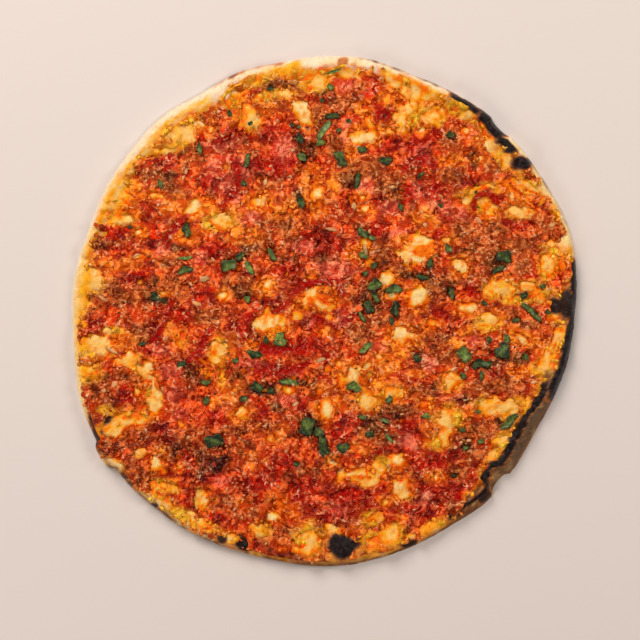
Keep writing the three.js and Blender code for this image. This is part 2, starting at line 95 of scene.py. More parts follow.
# Bare dough in the topping: place, half the length, half the width, turn in degrees, and its rise.
BLISTERS = [
    (-14.5, 119.5, 10.5, 4.5, -58, 2.2), (-5, 137, 5.5, 5.5, 0, 1.5), (47, 113, 5, 7.5, 10, 3.0),
    (24, 104, 8, 4.5, -15, 1.5), (93, 65, 11.5, 6.5, -25, 2.5), (117, 59, 7, 4, 0, 2.0),
    (122, 74, 9, 2.6, -25, 1.6), (112, 68, 2.4, 6, 10, 1.4), (99, 99, 6.5, 4.5, -10, 2.5),
    (109, 91, 4.5, 6, 0, 2.0), (66, 118, 6.5, 4.5, 20, 1.0), (-124, 68, 6.5, 9, 20, 2.0),
    (-85, 106, 8, 5, 35, 1.0), (-45, 115, 4.5, 8.5, 15, 1.5), (-64, 52.5, 8.5, 4.5, 5, 1.5),
    (-80, 61, 7, 4, 45, 1.5), (-5, 70, 5, 8, -15, 1.5), (-40, 66, 7.5, 4.5, 10, 1.0),
    (56, 37, 8.5, 8, 0, 3.0), (81, 26.5, 6, 4.5, -30, 2.0), (106, 14, 9, 5.5, 5, 1.0),
    (85, 1.5, 7, 4, 5, 2.5), (98, -6, 6, 6, 0, 2.5), (55, 8, 6.5, 7.5, 0, 3.0),
    (38, 18.5, 4.5, 4.5, 0, 2.5), (48, -15.5, 8.5, 6.5, -20, 2.5), (75, -43, 5.5, 5, 30, 2.0),
    (17, -39.5, 8.5, 7.5, 15, 3.0), (39, -50, 7, 4.5, -10, 1.5), (1, -60, 5.5, 6.5, 10, 2.5),
    (25, -55, 6, 5, 0, 1.5), (-31, -7.5, 10.5, 7.5, 20, 3.2), (-6, 7, 15, 7, 5, 2.5),
    (-36, 14, 5.5, 5, 35, 2.5), (-64, -24, 4.5, 7, 15, 2.5), (-107, -37, 7.5, 3.6, -45, 1.5),
    (-102, -52, 4, 9, 5, 2.0), (-127, -70, 9, 5.5, 15, 2.0), (-101, -91, 5, 7, 0, 1.5),
    (-73, -114, 4.5, 6.5, -10, 1.5), (-50, -62, 5, 5, 0, 1.5), (20, -99, 11, 4.5, -5, 2.0),
    (43, -92, 6.5, 6, 30, 3.0), (45, -105, 5.5, 6.5, -10, 2.5), (75, -66, 7.5, 7.5, 0, 2.0),
    (100, -58, 8, 5, 0, 1.5), (-32, -124, 6, 4.5, 0, 1.5), (-10, -140, 7, 7.5, 0, 2.0),
    (40, -135, 6.5, 6.5, 0, 2.5), (62, -132, 7, 4.5, 15, 2.0), (-133, -21, 8.5, 6, 25, 1.5),
    (-139, 20, 7, 6.5, 0, 1.5), (134, 28, 5, 6.5, 0, 2.0), (133, -35, 6.5, 6, 0, 1.5),
    (118, -17, 5.5, 4, -45, 2.0), (9, -141, 10, 9, 0, 4.6), (118, 88, 6.5, 5.5, 20, 3.0),
    (141, 4, 6, 7, 0, 2.4),
]

# Where sauce has stayed in the middle of a blister: place, half the length, half the width, and a turn.
SAUCED_CORES = [
    (2, 9, 9, 5, 5), (-8, 3, 3, 6, 20), (57, 36, 4.5, 4, 20), (96, 62, 5, 2.4, 40), (118, 66, 5, 3.4),
    (87, 69, 2.4, 3), (23, -42, 4, 2.6, -30), (12, -36, 2, 4), (78, -66, 2.6, 5), (44, -97, 2.2, 5, 10),
    (106, 15, 4, 1.6, 10), (-125, 66, 2, 5, 10), (-128, -71, 5, 1.6, 15), (50, 112, 1.4, 5, 10),
    (100, -55, 4, 1.6), (-87, 104, 4, 1.6, 35), (22, -100, 6, 1.4, -5), (50, -19, 3, 3),
]

# Smaller gaps in the topping: place, half the length, half the width, turn, and how orange the dough is
# there, from 0, creamy, to 1.
GAPS = [
    (-106, -33, 5, 2.6, -40, 0.1), (-103, -43, 2.4, 5, 0, 0.1), (-104, -63, 5, 2.4, 35, 0.2),
    (-112, -67, 5, 2.2, 15, 0.3), (-116, -27, 5, 2, -20, 0.2), (-24, 141, 4, 2.2, -10, 0.1),
    (-9, 146, 6, 2.4, 0, 0.1), (14, 142, 5, 2, 0, 0.3), (31, 143, 4, 2, -10, 0.1),
    (-75, 112, 5, 1.8, -20, 0.2), (-69, 108, 1.8, 3, 0, 0.2), (-97, 103, 3.5, 2, 0, 0.6),
    (-102, 69, 3, 1.6, 0, 0.1), (-60, 86, 2, 2, 0, 0.8), (-37, 128, 3, 1.8, 0, 0.5),
    (52, 124, 3, 2, 0, 0.5), (24, 122, 2, 2, 0, 0.5), (26, 114, 2, 5, 10, 0.8),
    (38, 107, 4, 1.8, -20, 0.8), (-20, 61, 3, 2.5, 0, 0.7), (24, 61, 2.5, 2, 0, 0.7),
    (22, 68, 2, 2, 0, 0.7), (58, 108, 2.6, 2.2, 0, 0.2), (78, 122, 2.2, 1.6, 0, 0.5),
    (84, 117, 3, 2, 0, 0.9), (91, 103, 1.6, 1.2, 0, 0.2), (93, 91, 2, 1.5, 0, 0.4),
    (75, 90, 3.5, 1.6, 5, 0.9), (84, 108, 3, 2, 0, 0.7), (73, 42, 2, 1.6, 0, 0.3),
    (113, 13, 2, 2, 0, 0.4), (138, -3, 3, 2, 0, 0.4), (60, -56, 2.6, 1.6, 0, 0.8),
    (2, -5, 2, 1.8, 0, 0.6), (17, 33, 2.5, 2.5, 0, 0.7), (24, 40, 3, 3, 0, 0.7),
    (26, 28, 3, 2.5, 0, 0.8), (40, 9, 4, 1.8, 10, 0.4), (-44, -21, 2.5, 2, 0, 0.7),
    (25, -33, 3, 2.4, 0, 0.5), (8, -32, 2.5, 2, 0, 0.7), (-49, -62, 2, 2, 0, 0.5),
    (4, -91, 3, 2.4, 0, 0.3), (9, -102, 2.5, 2.2, 0, 0.6), (33, -95, 3, 2.5, 0, 0.6),
    (49, -111, 5, 1.6, 20, 0.5), (36, -115, 2.5, 2, 0, 0.6), (-17, -136, 3, 2, 0, 0.4),
    (-28, -115, 2.6, 2, 0, 0.9), (28, -140, 3.5, 3, 0, 0.5), (-25, -142, 2.5, 2, 0, 0.5),
    (-33, -77, 2.3, 2, 0, 0.6), (-97, -84, 3, 2.6, 0, 0.3), (-111, -85, 2, 2, 0, 0.3),
    (-97, -105, 3, 1.8, 0, 0.5), (-95, -117, 2.5, 2, 0, 0.4), (-87, -94, 2, 2, 0, 0.4),
    (-75, -129, 5, 2.2, 0, 0.4), (-57, -136, 3, 2, 0, 0.4), (-119, -29, 3, 2, 0, 0.2),
    (-113, 32, 3.5, 1.4, 15, 0.4), (-112, 47, 3, 2.4, 0, 0.9), (-97, 10, 2.3, 2, 0, 0.6),
    (-87, -19, 2, 3, 0, 0.5), (-70, -37, 1.4, 4, -20, 0.6), (-62, 9, 2.5, 2.2, 0, 0.8),
    (106, -78, 2.6, 1.6, 0, 0.6), (-118, -34, 3, 1.6, -30, 0.1), (-124, -30, 2.6, 1.6, 10, 0.1),
    (-113, -48, 2, 4, 10, 0.8), (-8, 20, 3, 2, 0, 0.9), (-22, -48, 3, 2, 10, 0.9),
    (-3, -48, 3, 2, 30, 0.9), (32, -28, 3, 2, -20, 0.9), (64, -8, 3, 2, 0, 0.9),
    (108, 76, 3, 2, 0, 0.8), (128, 74, 2, 3, 0, 0.8), (66, -100, 3, 2.2, 10, 0.8),
    (-50, -139.5, 5.4, 4.6, 0, 0.6), (-62, -137, 3.4, 2.8, 0, 0.6),
]

# ---- What lies on the bread ----

CRUMB_SPACING, FLECK_SPACING, ONION_SPACING = 2.1, 5.2, 21  # of the places that chance chooses from
ONION_HEIGHT = 2.2
CLUMP_HEIGHT = 1.5  # of the spread's clumps above the seams between them
SHEET_DEPTH, CRUMB_DEPTH = 1.7, 2.2  # of the spread's mesh and its crumbs in a seam, below the topping
SHEET_PRESSED, CRUMB_PRESSED = 0.6, 1.4  # how far down parsley presses them
ON_DOUGH, IN_TOPPING = 0.3, 0.1  # how far bits lie above bare dough, and how far into the topping
LEAF_LIFT = 0.35  # of parsley above its bed
FOOD_IOR, FOOD_SPECULAR = 1.4, 0.2

# Zones of the spread by their tone, in the order in which the tones are laid: place, half the length, half
# the width, and a turn in degrees.
ZONES = {
    "brown": [
        (-22, 136, 13, 5), (-72, 118, 8, 5, -15), (-25, 123, 6, 4), (-14, 131, 4, 4), (-4, 118, 6, 10),
        (-82, 93, 7, 8), (-112, 80, 14, 4, 5), (-90, 72, 8, 5), (-137, 47, 6, 6), (-130, 13, 12, 8),
        (-138, 4, 9, 5), (-115, 8, 14, 7), (-92, 14, 12, 9), (-95, 30, 9, 7), (-52, 15, 12, 6),
        (-20, 48, 12, 8), (-35, 75, 9, 6), (10, 125, 9, 6), (20, 134, 6, 4), (75, 102, 8, 9),
        (100, 88, 7, 6), (22, 84, 14, 9), (42, 74, 13, 9), (76, 80, 8, 7), (86, 46, 11, 8),
        (102, 49, 10, 8), (112, 39, 13, 6), (130, 51, 9, 7), (90, 34, 12, 8), (118, 27, 6, 6),
        (85, 19, 18, 5), (44, 25, 7, 6), (34, 37, 8, 7), (12, 12, 5, 6), (-136, -49, 13, 9),
        (-120, -39, 8, 6), (-118, -78, 17, 6), (-108, -76, 7, 6), (-115, -92, 8, 6), (-107, -100, 9, 7),
        (-75, -84, 9, 8), (-52, -80, 10, 7), (-85, -80, 9, 8), (-83, -100, 5, 5), (-60, -118, 11, 7),
        (-44, -122, 11, 5), (-30, -135, 13, 7), (-3, -120, 5, 8), (-9, -100, 8, 8), (-52, -42, 7, 7),
        (-45, -71, 18, 6), (-110, -14, 9, 7), (-72, -4, 12, 5), (-80, -76, 14, 7), (20, -13, 9, 7),
        (31, -4, 6, 6), (75, -28, 8, 6), (68, -18, 10, 8), (111, -5, 8, 7), (122, -9, 11, 5),
        (110, -29, 10, 4), (90, -46, 12, 5), (108, -44, 11, 6), (55, -50, 6, 6), (25, -74, 9, 7),
        (90, -72, 13, 7), (88, -86, 12, 5), (80, -98, 8, 5), (2, -90, 7, 6), (48, -129, 4, 6),
        (78, -119, 8, 5, 30), (5, 100, 6, 8), (100, -70, 7, 6), (120, 81, 10, 4, -20), (62, 130, 5, 4),
    ],
    "dusk": [
        (-24, 138, 5, 3), (-33, 134, 4, 3), (-3, 131, 4, 3), (-98, 76, 6, 4, 20), (-94, 80, 6, 3, 30),
        (-134, 40, 7, 4, 10), (-90, 38, 7, 3), (-45, 40, 9, 6), (-40, 84, 9, 3, 15), (-12, 96, 8, 5),
        (-20, 31, 5, 3), (-3, 32, 5, 4), (-17, 67, 5, 5), (-103, 8, 6, 5), (-50, 10, 6, 4),
        (-104, 17, 4, 4), (14, 78, 7, 5), (35, 118, 3, 4), (54, 21, 10, 2.4), (62, 13, 5, 11),
        (72, 14, 4, 5), (89, 92, 4, 7), (104, 28, 6, 5), (33, 28, 6, 4), (-133, -40, 5, 3),
        (-128, -55, 6, 4), (-69, -95, 10, 4.5, 35), (-74, -87, 5, 4), (-62, -82, 5, 3),
        (-81, -36, 5, 7), (-72, -41, 5, 3), (-34, -47, 12, 4), (-18, -43, 9, 2.6),
        (-99, -70, 8, 3.4, -20), (-91, -81, 4, 6), (-30, -58, 5, 4), (-23, -101, 4, 3),
        (-18, -92, 4, 3), (-5, -132, 6, 3), (-20, -147, 12, 3), (-100, -116, 5, 2, -40),
        (42, -60, 13, 6), (30, -68, 7, 7), (38, -78, 5, 5), (81, -53, 5, 4), (83, -80, 6, 4),
        (63, -104, 5, 3), (100, -33, 9, 4), (56, -27, 4, 5), (-8, -72, 9, 7, -30), (28, 10, 9, 9),
        (-128, -83, 8, 4), (118, -29, 4, 4), (107, -66, 7, 3), (66, -47, 2.4, 5),
    ],
    "red": [
        (-62, 104, 11, 4.5, 10), (-98, 91, 8, 5, -30), (-104, 98, 4, 4), (-109, 56, 4, 8, 20),
        (-104, 42, 5, 9), (-116, 22, 9, 7), (-128, 46, 8, 4), (-66, 36, 7, 6), (-71, 78, 5, 7),
        (-42, 87, 11, 4.5, 15), (-56, 73, 5, 4), (-25, 86, 14, 6), (-38, 106, 11, 5),
        (-10, 16, 14, 5, 10), (-34, 4, 11, 4.5, 30), (-72, 9, 8, 5), (-6, 42, 9, 8), (-22, 25, 6, 5),
        (33, 139, 6, 3.5), (27, 131, 8, 3.6, 20), (32, 116, 8, 8), (36, 100, 16, 5, 5),
        (65, 105, 4, 8, -35), (55, 90, 8, 4), (86, 76, 8, 4, 10), (106, 63, 3, 6, 15),
        (112, 82, 5, 2.6, 20), (30, 66, 8, 3.4, 10), (17, 62, 6, 3.4), (50, 70, 4, 9), (65, 72, 8, 5),
        (4, 41, 8, 7), (18, 41, 5, 4), (32, 48, 8, 5), (5, 18, 8, 4), (87, 13, 5, 5), (64, 45, 6, 4),
        (115, 53, 9, 4), (-138, -10, 8, 6), (-102, -12, 4, 7, 10), (-108, -26, 5, 4),
        (-75, -22, 2.6, 9, -10), (-85, -3, 6, 4), (-53, -12, 8, 6), (-45, -5, 8, 5, -30),
        (-33, -23, 12, 4), (-33, -36, 13, 3.4, 5), (-12, -22, 14, 5, 5), (-8, -9, 4, 4),
        (-96, -73, 8, 4, -50), (-118, -54, 7, 6), (-83, -93, 4, 9), (-93, -99, 7, 4), (-70, -103, 6, 6),
        (-80, -115, 6, 5), (-65, -124, 6, 4), (-40, -104, 12, 5), (-13, -115, 12, 4.5, -30),
        (-12, -106, 9, 6), (-22, -90, 5, 5), (-38, -61, 5, 4), (-65, -64, 6, 5), (-15, -57, 4, 4),
        (-3, -51, 5, 4), (-32, -92, 8, 5), (70, -3, 9, 4), (103, -37, 6, 3.5, 20), (12, -66, 10, 5),
        (10, -74, 8, 4), (50, -71, 6, 6), (42, -85, 12, 4), (28, -88, 6, 3), (53, -93, 6, 8),
        (64, -92, 8, 7), (75, -86, 7, 5), (93, -99, 5, 8, 15), (35, -104, 4.5, 4.5), (12, -110, 15, 9),
        (5, -123, 12, 6), (27, -115, 9, 5), (53, -120, 13, 5), (63, -110, 13, 7), (79, -108, 9, 6),
        (2, -31, 5, 6), (-48, 24, 5, 3), (55, 98, 8, 7), (-5, 62, 4, 3), (48, -40, 6, 4),
        (122, -51, 5, 3),
    ],
    # Soft, pale tomato pulp, partly painted pink sheen where the sauce is glossy.
    "rose": [
        (-58, 84, 12, 9), (-62, 74, 5, 5), (-52, 66, 6, 4), (-25, 97, 6, 7), (-60, 98, 9, 3),
        (-98, 37, 5, 4), (-75, 31, 4, 4), (-12, 38, 9, 4), (14, 107, 5, 8), (58, 95, 6, 4),
        (56, 72, 4, 6), (24, 74, 5, 5), (37, 62, 7, 4), (12, 136, 6, 4), (86, 108, 5, 4),
        (66, 60, 9, 6), (82, 58, 3, 4), (6, 25, 11, 5), (8, -4, 8, 4), (-14, -5, 7, 4, -20),
        (-95, -36, 8, 5), (-98, -24, 5, 3), (-45, -33, 8, 4), (-20, -38, 7, 2.6), (-22, -53, 7, 4.5),
        (-87, -62, 4, 4), (-62, -102, 5, 3), (34, -23, 5, 4), (62, -32, 5, 5), (50, -78, 6, 4, -20),
        (88, -18, 3.5, 4.5), (76, -50, 5, 4), (59, -112, 5, 4), (8, -120, 7, 5), (-45, 57, 8, 4),
        (44, 46, 7, 3), (-100, 66, 4, 3), (-92, -50, 5, 4), (95, 62, 3, 3),
    ],
    "orange": [
        (-78, 61, 11, 5, 35), (-64, 60, 12, 6), (-42, 65, 8, 4.5), (-19, 61, 5, 5), (-9, 76, 8, 6),
        (-4, 64, 6, 8), (-10, 84, 8, 4), (-85, 45, 9, 5), (-93, 62, 7, 6), (-118, 57, 8, 5),
        (-110, 47, 4, 3), (-130, 62, 4, 4), (-126, 27, 13, 4), (-139, 31, 6, 4), (-47, 46, 10, 4),
        (-61, 10, 4, 4), (-8, 7, 12, 6), (-30, 59, 9, 5), (-100, 104, 5, 3, 30), (-52, 117, 6, 5),
        (-39, 121, 8, 7), (-50, 43, 12, 4), (-48, 132, 3, 7, -10), (-115, 72, 5, 8), (22, 121, 6, 5),
        (24, 107, 12, 5), (36, 109, 9, 4), (38, 127, 8, 4), (78, 90, 8, 4), (102, 73, 7, 4),
        (99, 58, 6, 5), (118, 67, 7, 5), (140, 30, 5, 7), (56, 36, 6, 6), (24, 40, 4, 5),
        (22, 61, 4, 3), (5, 75, 4, 7), (15, 95, 4, 6), (2, 7, 6, 6), (47, 43, 6, 3), (60, 55, 8, 8),
        (-60, -22, 7, 9), (-58, -49, 8, 6, -45), (-66, -55, 6, 4), (-72, -36, 5, 2), (-52, -61, 8, 5),
        (-87, -17, 6, 6), (-95, -11, 4, 5), (-121, -17, 9, 5), (-105, -45, 7, 9), (-113, -60, 13, 4),
        (-113, -69, 5, 3), (-101, -88, 4, 8), (-88, -95, 4, 3), (-92, -103, 5, 3),
        (-72, -115, 5, 8, -20), (-50, -116, 6, 5), (-28, -114, 6, 8), (-20, -120, 5, 4),
        (-44, -89, 6, 6), (-31, -76, 6, 5), (-25, -70, 4, 3), (0, -59, 6, 6), (28, -44, 20, 8, -15),
        (12, -55, 10, 5), (12, -38, 9, 6), (43, -19, 7, 12, 10), (38, -31, 9, 6), (55, -38, 5, 3),
        (76, -44, 7, 5, 20), (62, -56, 5, 3), (98, -5, 9, 8), (85, -12, 7, 4), (80, -20, 5, 4),
        (115, -15, 11, 4), (128, -20, 7, 5), (118, -37, 11, 4), (66, -74, 8, 9), (89, -61, 6, 3),
        (17, -82, 5, 3), (26, -98, 14, 6, 5), (45, -104, 7, 9), (37, -113, 4, 4), (65, -99, 6, 4),
        (45, -125, 4, 4), (18, -131, 6, 3), (55, 8, 7, 7), (38, 18, 5, 5), (81, 27, 6, 5),
        (9, -45, 6, 5), (-36, 14, 7, 5, 30), (-33, -12, 8, 6), (-44, -21, 5, 3), (-104, 70, 7, 4),
        (24, -84, 4, 3), (2, -12, 8, 3),
    ],
    "amber": [
        (-126, 71, 7, 12, -15), (-124, 55, 7, 4), (-140, 16, 9, 6), (-146, 6, 4, 9),
        (-86, 107, 10, 4, 30), (-92, 98, 10, 3.6, 20), (-56, 126, 6, 6), (-74, 122, 6, 3, 30),
        (-46, 114, 6, 5), (-37, 128, 6, 3), (-27, 130, 10, 3), (-14, 145, 14, 5), (-41, 138, 8, 4, 30),
        (-110, 96, 4, 6, -30), (-6, 137, 9, 6), (52, 118, 9, 7), (64, 117, 8, 6), (47, 137, 14, 5, -15),
        (55, 130, 12, 5, -15), (81, 119, 9, 4, -30), (104, 96, 8, 5, -30), (108, 90, 5, 6),
        (92, 67, 10, 6, -20), (97, 73, 9, 4), (124, 74, 9, 3, -30), (116, 59, 8, 4), (132, 76, 4, 4),
        (133, 27, 5, 9), (140, 38, 9, 4), (106, 13, 11, 5), (121, 14, 9, 4), (130, 9, 9, 5),
        (115, 6, 9, 3), (-140, -22, 13, 6), (-127, -12, 7, 3), (-118, -30, 7, 3, 10), (-142, -38, 8, 6),
        (-110, -37, 7, 3, -40), (-103, -53, 4, 8, 10), (-119, -65, 11, 4, 10), (-129, -71, 7, 4),
        (-111, -85, 4, 3), (-98, -105, 9, 3.6, -15), (-102, -113, 7, 3, -35), (-95, -118, 4, 7, 20),
        (-76, -112, 3, 6), (-86, -122, 9, 4, -20), (-76, -128, 13, 3.4, -15), (-57, -136, 5, 3),
        (-10, -138, 8, 10), (-38, -132, 6, 4), (-62, -38, 3, 6), (-64, 53, 9, 4.5), (40, -49, 7, 3),
        (28, -55, 7, 3.4), (97, -8, 8, 5), (140, -14, 4, 8, -20), (135, -26, 4, 7), (132, -34, 8, 6),
        (130, -44, 4, 2), (98, -56, 9, 5), (113, -56, 6, 5), (75, -65, 8, 7), (69, -79, 6, 5),
        (119, -67, 3.4, 7, -20), (106, -78, 5, 4), (110, -60, 6, 6), (100, -87, 3.4, 6, -30),
        (26, -103, 6, 3), (33, -92, 5, 4), (27, -125, 7, 5), (40, -135, 7, 7), (27, -138, 7, 6),
        (68, -129, 9, 4, 20), (3, -131, 5, 3), (48, -111, 5, 3), (77, -43, 6, 4, 20),
        (-126, -92, 6, 3, -30), (-64, -25, 5, 8), (10, 143, 12, 4), (138, -3, 3, 4),
        (118, 97, 3, 4, 30), (-132, -60, 6, 3, -20), (102, -100, 2, 4, -30),
    ],
    "burnt": [
        (-67, -93, 5.5, 4, 10), (-75, -99, 2.4, 4), (-61, -88, 3, 2, 30),
    ],
}

# How fully each tone covers the spread in its zones.
ZONE_STRENGTH = {
    "brown": 0.96, "dusk": 0.85, "red": 0.96, "rose": 0.74, "orange": 0.86, "amber": 0.92, "burnt": 0.9,
}

# Runs of dark red sauce in the hollows: points along each.
RUNS = [
    [(-31, 0), (-22, 4), (-19, 12), (-10, 17), (6, 17), (11, 10)],
    [(-6, -5), (1, -8), (8, -10), (13, -7), (15, -3)],
    [(-38, -22), (-29, -25), (-17, -23), (-13, -19)],
    [(-40, -35), (-33, -37), (-22, -36), (-10, -32)],
    [(88, 62), (92, 68), (98, 72), (103, 64)],
    [(47, 84), (52, 90), (62, 92), (66, 86)],
    [(-96, 38), (-92, 48), (-84, 56)],
    [(-104, -18), (-96, -8), (-92, 4)],
    [(-82, -30), (-74, -22), (-70, -12)],
    [(-62, 62), (-56, 70), (-52, 80), (-55, 90)],
]

# Char and scorched spots: place, half the length, half the width, turn, depth of the burn from 0 to 1.
SCORCHES = [
    (10, -142, 9.5, 7, 0, 1.0), (118, 88, 5.5, 4.2, -30, 1.0), (-135.5, -64, 6, 5, 0, 0.9),
    (-137, -73, 4, 5, 0, 0.9), (-138, -80, 2, 2, 0, 0.9), (-103, -117, 2.4, 1.8, 0, 0.9),
    (-62, -137, 3, 2.4, 0, 0.9), (-50, -139.5, 5, 4.4, 0, 1.0), (50, -140, 5, 2.6, 10, 0.9),
    (10, 149, 2.9, 2.6, 0, 0.0), (96, -112, 4, 2.6, 40, 0.9), (-121, -99, 2.4, 2.0, 0, 0.7),
    (-117, -104, 2.0, 1.8, 0, 0.6), (-56, 141, 2.4, 1.6, 30, 0.35), (143.5, 3, 4.5, 9, 0, 0.95),
    (138, 3, 4, 5.5, 20, 0.95),
]

# Tones along the rim: from and to in degrees, from and to in distance from the edge, the tone, and how
# strong it is.
RIM_TONES = [
    (60, 78, 0.6, 3.6, "pale", 0.8), (78, 97, 0.6, 7.0, "pale", 0.9), (95, 104, 2, 9, "yellow", 0.8),
    (104, 112, 0, 5, "pale", 0.7), (111, 119, 1, 11, "pale", 1.3), (112, 146, 0, 4.4, "pale", 0.85),
    (146, 170, 1, 4, "yellow", 0.5), (118, 168, 4.5, 11, "yellow", 0.8),
    (118, 168, 6.5, 9, "cream", 0.6), (170, 200, 0.8, 10, "yellow", 0.95),
    (165, 200, 0, 3.4, "cream", 0.8), (200, 206, 0, 7, "cream", 0.8),
    (205, 268, 0, 6, "brown_zone", 0.9), (213, 250, 0.7, 5.2, "cream", 1.1),
    (268, 303, 0, 5, "brown_zone", 0.8), (268, 303, 1, 9, "yellow", 0.6),
    (266, 280, 0, 3.5, "ash", 0.5), (302, 345, 0, 12, "brown", 1.4), (303, 345, 0, 10, "ash", 1.1),
    (300, 317, 0, 7, "brown", 0.7), (20, 34, 0, 5, "cream", 0.8), (10, 15, 0, 8, "yellow", 0.8),
    (15, 20, 0.5, 8.5, "cream", 1.0), (33, 41, 0, 3.4, "cream", 1.0), (60, 82, -1, 1.2, "brown", 0.9),
    (100, 116, -1, 1.4, "toast", 1.0), (216, 268, -1, 1.7, "brown", 1.0),
    (20, 36, -1, 1.0, "brown", 0.6), (205, 216, -1, 4.0, "brown", 0.45),
    (268, 303, -1, 1.8, "brown", 1.1), (-4, 11, -2, 4.6, "char", 1.0), (40, 45, 2.4, 9, "char", 1.0),
    (45, 52, -2, 7.6, "char", 1.0), (52, 60, 0.8, 6.0, "char", 1.0), (312, 342, 7.2, 12, "char", 1.0),
    (312, 342, -1, 1.4, "brown", 0.9), (300, 314, 4.5, 8, "char", 0.8),
    (338, 357, -2, 5.5, "char", 1.0), (304, 312, -1, 2.0, "brown", 0.8),
]

# Parsley that has a node each: place, length, width, turn in degrees, how blunt its ends are, and its tone
# from 0, dark, to 1, light.
PARSLEY = [
    (4, 116.5, 9, 3, 0, 8, 0.3), (-1, 108, 14, 3.4, 57, 8, 0.8), (9, 91, 11, 6.5, -40, 2, 0.35),
    (36, 90, 8, 5, 10, 2, 0.3), (19, 78, 10, 3, 80, 5, 0.3), (-47, 90, 9, 2.8, 75, 8, 0.45),
    (-83, 48, 10, 5, 90, 2, 0.2), (-84, 24, 10, 4.2, 15, 4, 0.35), (-58, 27, 10, 7, 40, 3, 0.45),
    (-32, 33.5, 9, 3, -55, 5, 0.75), (-45.5, 25.5, 9.5, 3.2, -60, 8, 0.8),
    (22.5, 46.5, 8, 4.4, -50, 4, 0.5), (29.5, 15, 9, 6.5, 10, 3, 0.45), (41, 12.5, 11, 5, 5, 3, 0.4),
    (42, 1, 10, 5, 95, 3, 0.05), (26, 2, 8, 5.5, -40, 3, 0.2), (-27, -17.5, 8.5, 7, -60, 4, 0.75),
    (-42.5, -26, 10, 4.4, -20, 3, 0.25), (24, -22.5, 9.5, 3.6, 30, 4, 0.7),
    (-22, -43, 12, 3.4, -8, 6, 0.6), (17, -46, 9, 5.5, -10, 4, 0.7), (-11, -69.5, 11, 9.5, -70, 3, 0.3),
    (-1, -80.5, 13, 5, -65, 3, 0.2), (10.5, -82, 8, 5.5, 0, 4, 0.4), (-67, -78, 12, 8, -15, 3, 0.0),
    (107, 32, 10, 7.5, -30, 3, 0.2), (123.5, -1, 16, 3.2, -42, 8, 0.6),
    (83, -26.5, 9.5, 7.5, -20, 4, 0.7), (94.5, -31.5, 11, 4, -5, 4, 0.15),
    (106, -24, 10, 9, 40, 3, 0.2), (110, -66.5, 14, 4.2, 40, 3, 0.35),
]

# Smaller shreds of parsley: place, length, width, turn, tone.
SHREDS = [
    (-3, 100.5, 6, 4.5, 20, 0.7), (-15.5, 103, 5, 6, 0, 0.15), (-14, 92, 5, 5.5, 30, 0.35),
    (22, 96.5, 6, 4, -20, 0.3), (-49, 76, 4, 4, 0, 0.0), (-15, 65, 4.5, 7.5, 10, 0.1),
    (-84, 31.5, 9, 2, 8, 0.95), (-51.5, 32.5, 6, 4, 20, 0.25), (-47, 6.5, 5, 4, -40, 0.7),
    (28, 43.5, 4, 3, 0, 0.5), (23, 33.5, 5.5, 5, 30, 0.75), (29, 27, 4, 4, 0, 0.4),
    (24, 22, 4, 3, 50, 0.4), (30, 8, 8, 3, -50, 0.35), (39.5, -6, 3, 5, 0, 0.1),
    (22, -4, 7, 2.5, -60, 0.45), (-35.5, -18, 3.5, 5, 0, 0.25), (-41, -46, 8, 6, 0, 0.15),
    (-33, -48, 4, 4, 30, 0.05), (38, -53.5, 5, 4, 20, 0.2), (35.5, -66, 6, 2.4, -20, 0.5),
    (22, -64, 5, 3, 0, 0.3), (26.5, -74, 5, 4, 40, 0.2), (38, -76.5, 7, 2, -55, 0.6),
    (-4, -73, 6, 6, 20, 0.2), (-2, -84, 4, 7, 0, 0.15), (-17.5, -92, 4, 2.5, 0, 0.05),
    (-71.5, -54, 4, 5, 10, 0.35), (-49, -53, 5, 4, 30, 0.3), (-86.5, -32, 6, 3.5, 30, 0.2),
    (-72, -43, 6, 3, 0, 0.4), (-54, -30, 4, 3, 0, 0.4), (-102, 8, 5.5, 6, 0, 0.1),
    (-97, 6, 4, 2.5, -30, 0.0), (58, 20, 8, 3, -8, 0.0), (62.5, 28, 4, 6, 0, 0.15),
    (73.5, 37, 4, 6, 20, 0.7), (103.5, 24.5, 9, 3, 35, 0.2), (75.5, 10.5, 3.5, 7, 0, 0.25),
    (119, 9, 5, 4, 0, 0.05), (114, -6, 5, 3, 20, 0.3), (95, 4.5, 4, 3, 0, 0.2),
    (98, -17.5, 3, 4, 0, 0.2), (108.5, -17, 5, 4, 60, 0.35), (120, -28, 4, 4, 0, 0.3),
    (82.5, -39, 4, 4, 10, 0.3), (93.5, -39, 2.5, 6, -10, 0.25), (90, -33, 5, 4, 0, 0.05),
    (60.5, -63.5, 5, 3.5, 0, 0.8), (91.5, -60.5, 4, 2, 0, 0.4), (82, -71.5, 4, 2.5, 20, 0.25),
    (93, -78.5, 4, 3, 0, 0.5), (84, -82.5, 4, 3, 40, 0.5), (77, -99, 4, 2, 0, 0.0),
    (55, -28.5, 5, 4, -20, 0.15), (130, 14.5, 4, 2.5, 0, 0.1), (133, -1, 4, 3, 0, 0.0),
    (-117, 50, 4, 2, 0, 0.1), (-110, -20, 4, 2.6, 30, 0.1), (-33, 133, 4, 2.5, 0, 0.2),
    (-57.5, 118, 3, 4, 0, 0.3), (-75.5, 97, 3, 7, 0, 0.45), (-99, 76, 3, 5, 0, 0.3),
    (-45, 112, 3, 2.4, 0, 0.1), (75, 105, 5, 4, 0, 0.25), (5, 143, 9, 2, 20, 0.7),
    (3, 134, 4, 4, 0, 0.8), (-2, 126, 3, 2.4, 0, 0.1), (14, 113.5, 3.5, 2.5, 0, 0.2),
    (-20, 111, 3, 2, 0, 0.1), (-16, 110, 2.6, 2, 40, 0.2), (8, 108, 3, 2.4, 0, 0.4),
    (57, 81, 6, 2.4, 50, 0.1), (45, 62, 3, 5, 10, 0.25), (69, 63, 3, 2.5, 0, 0.2),
    (90, 71, 2, 2, 0, 0.0),
]

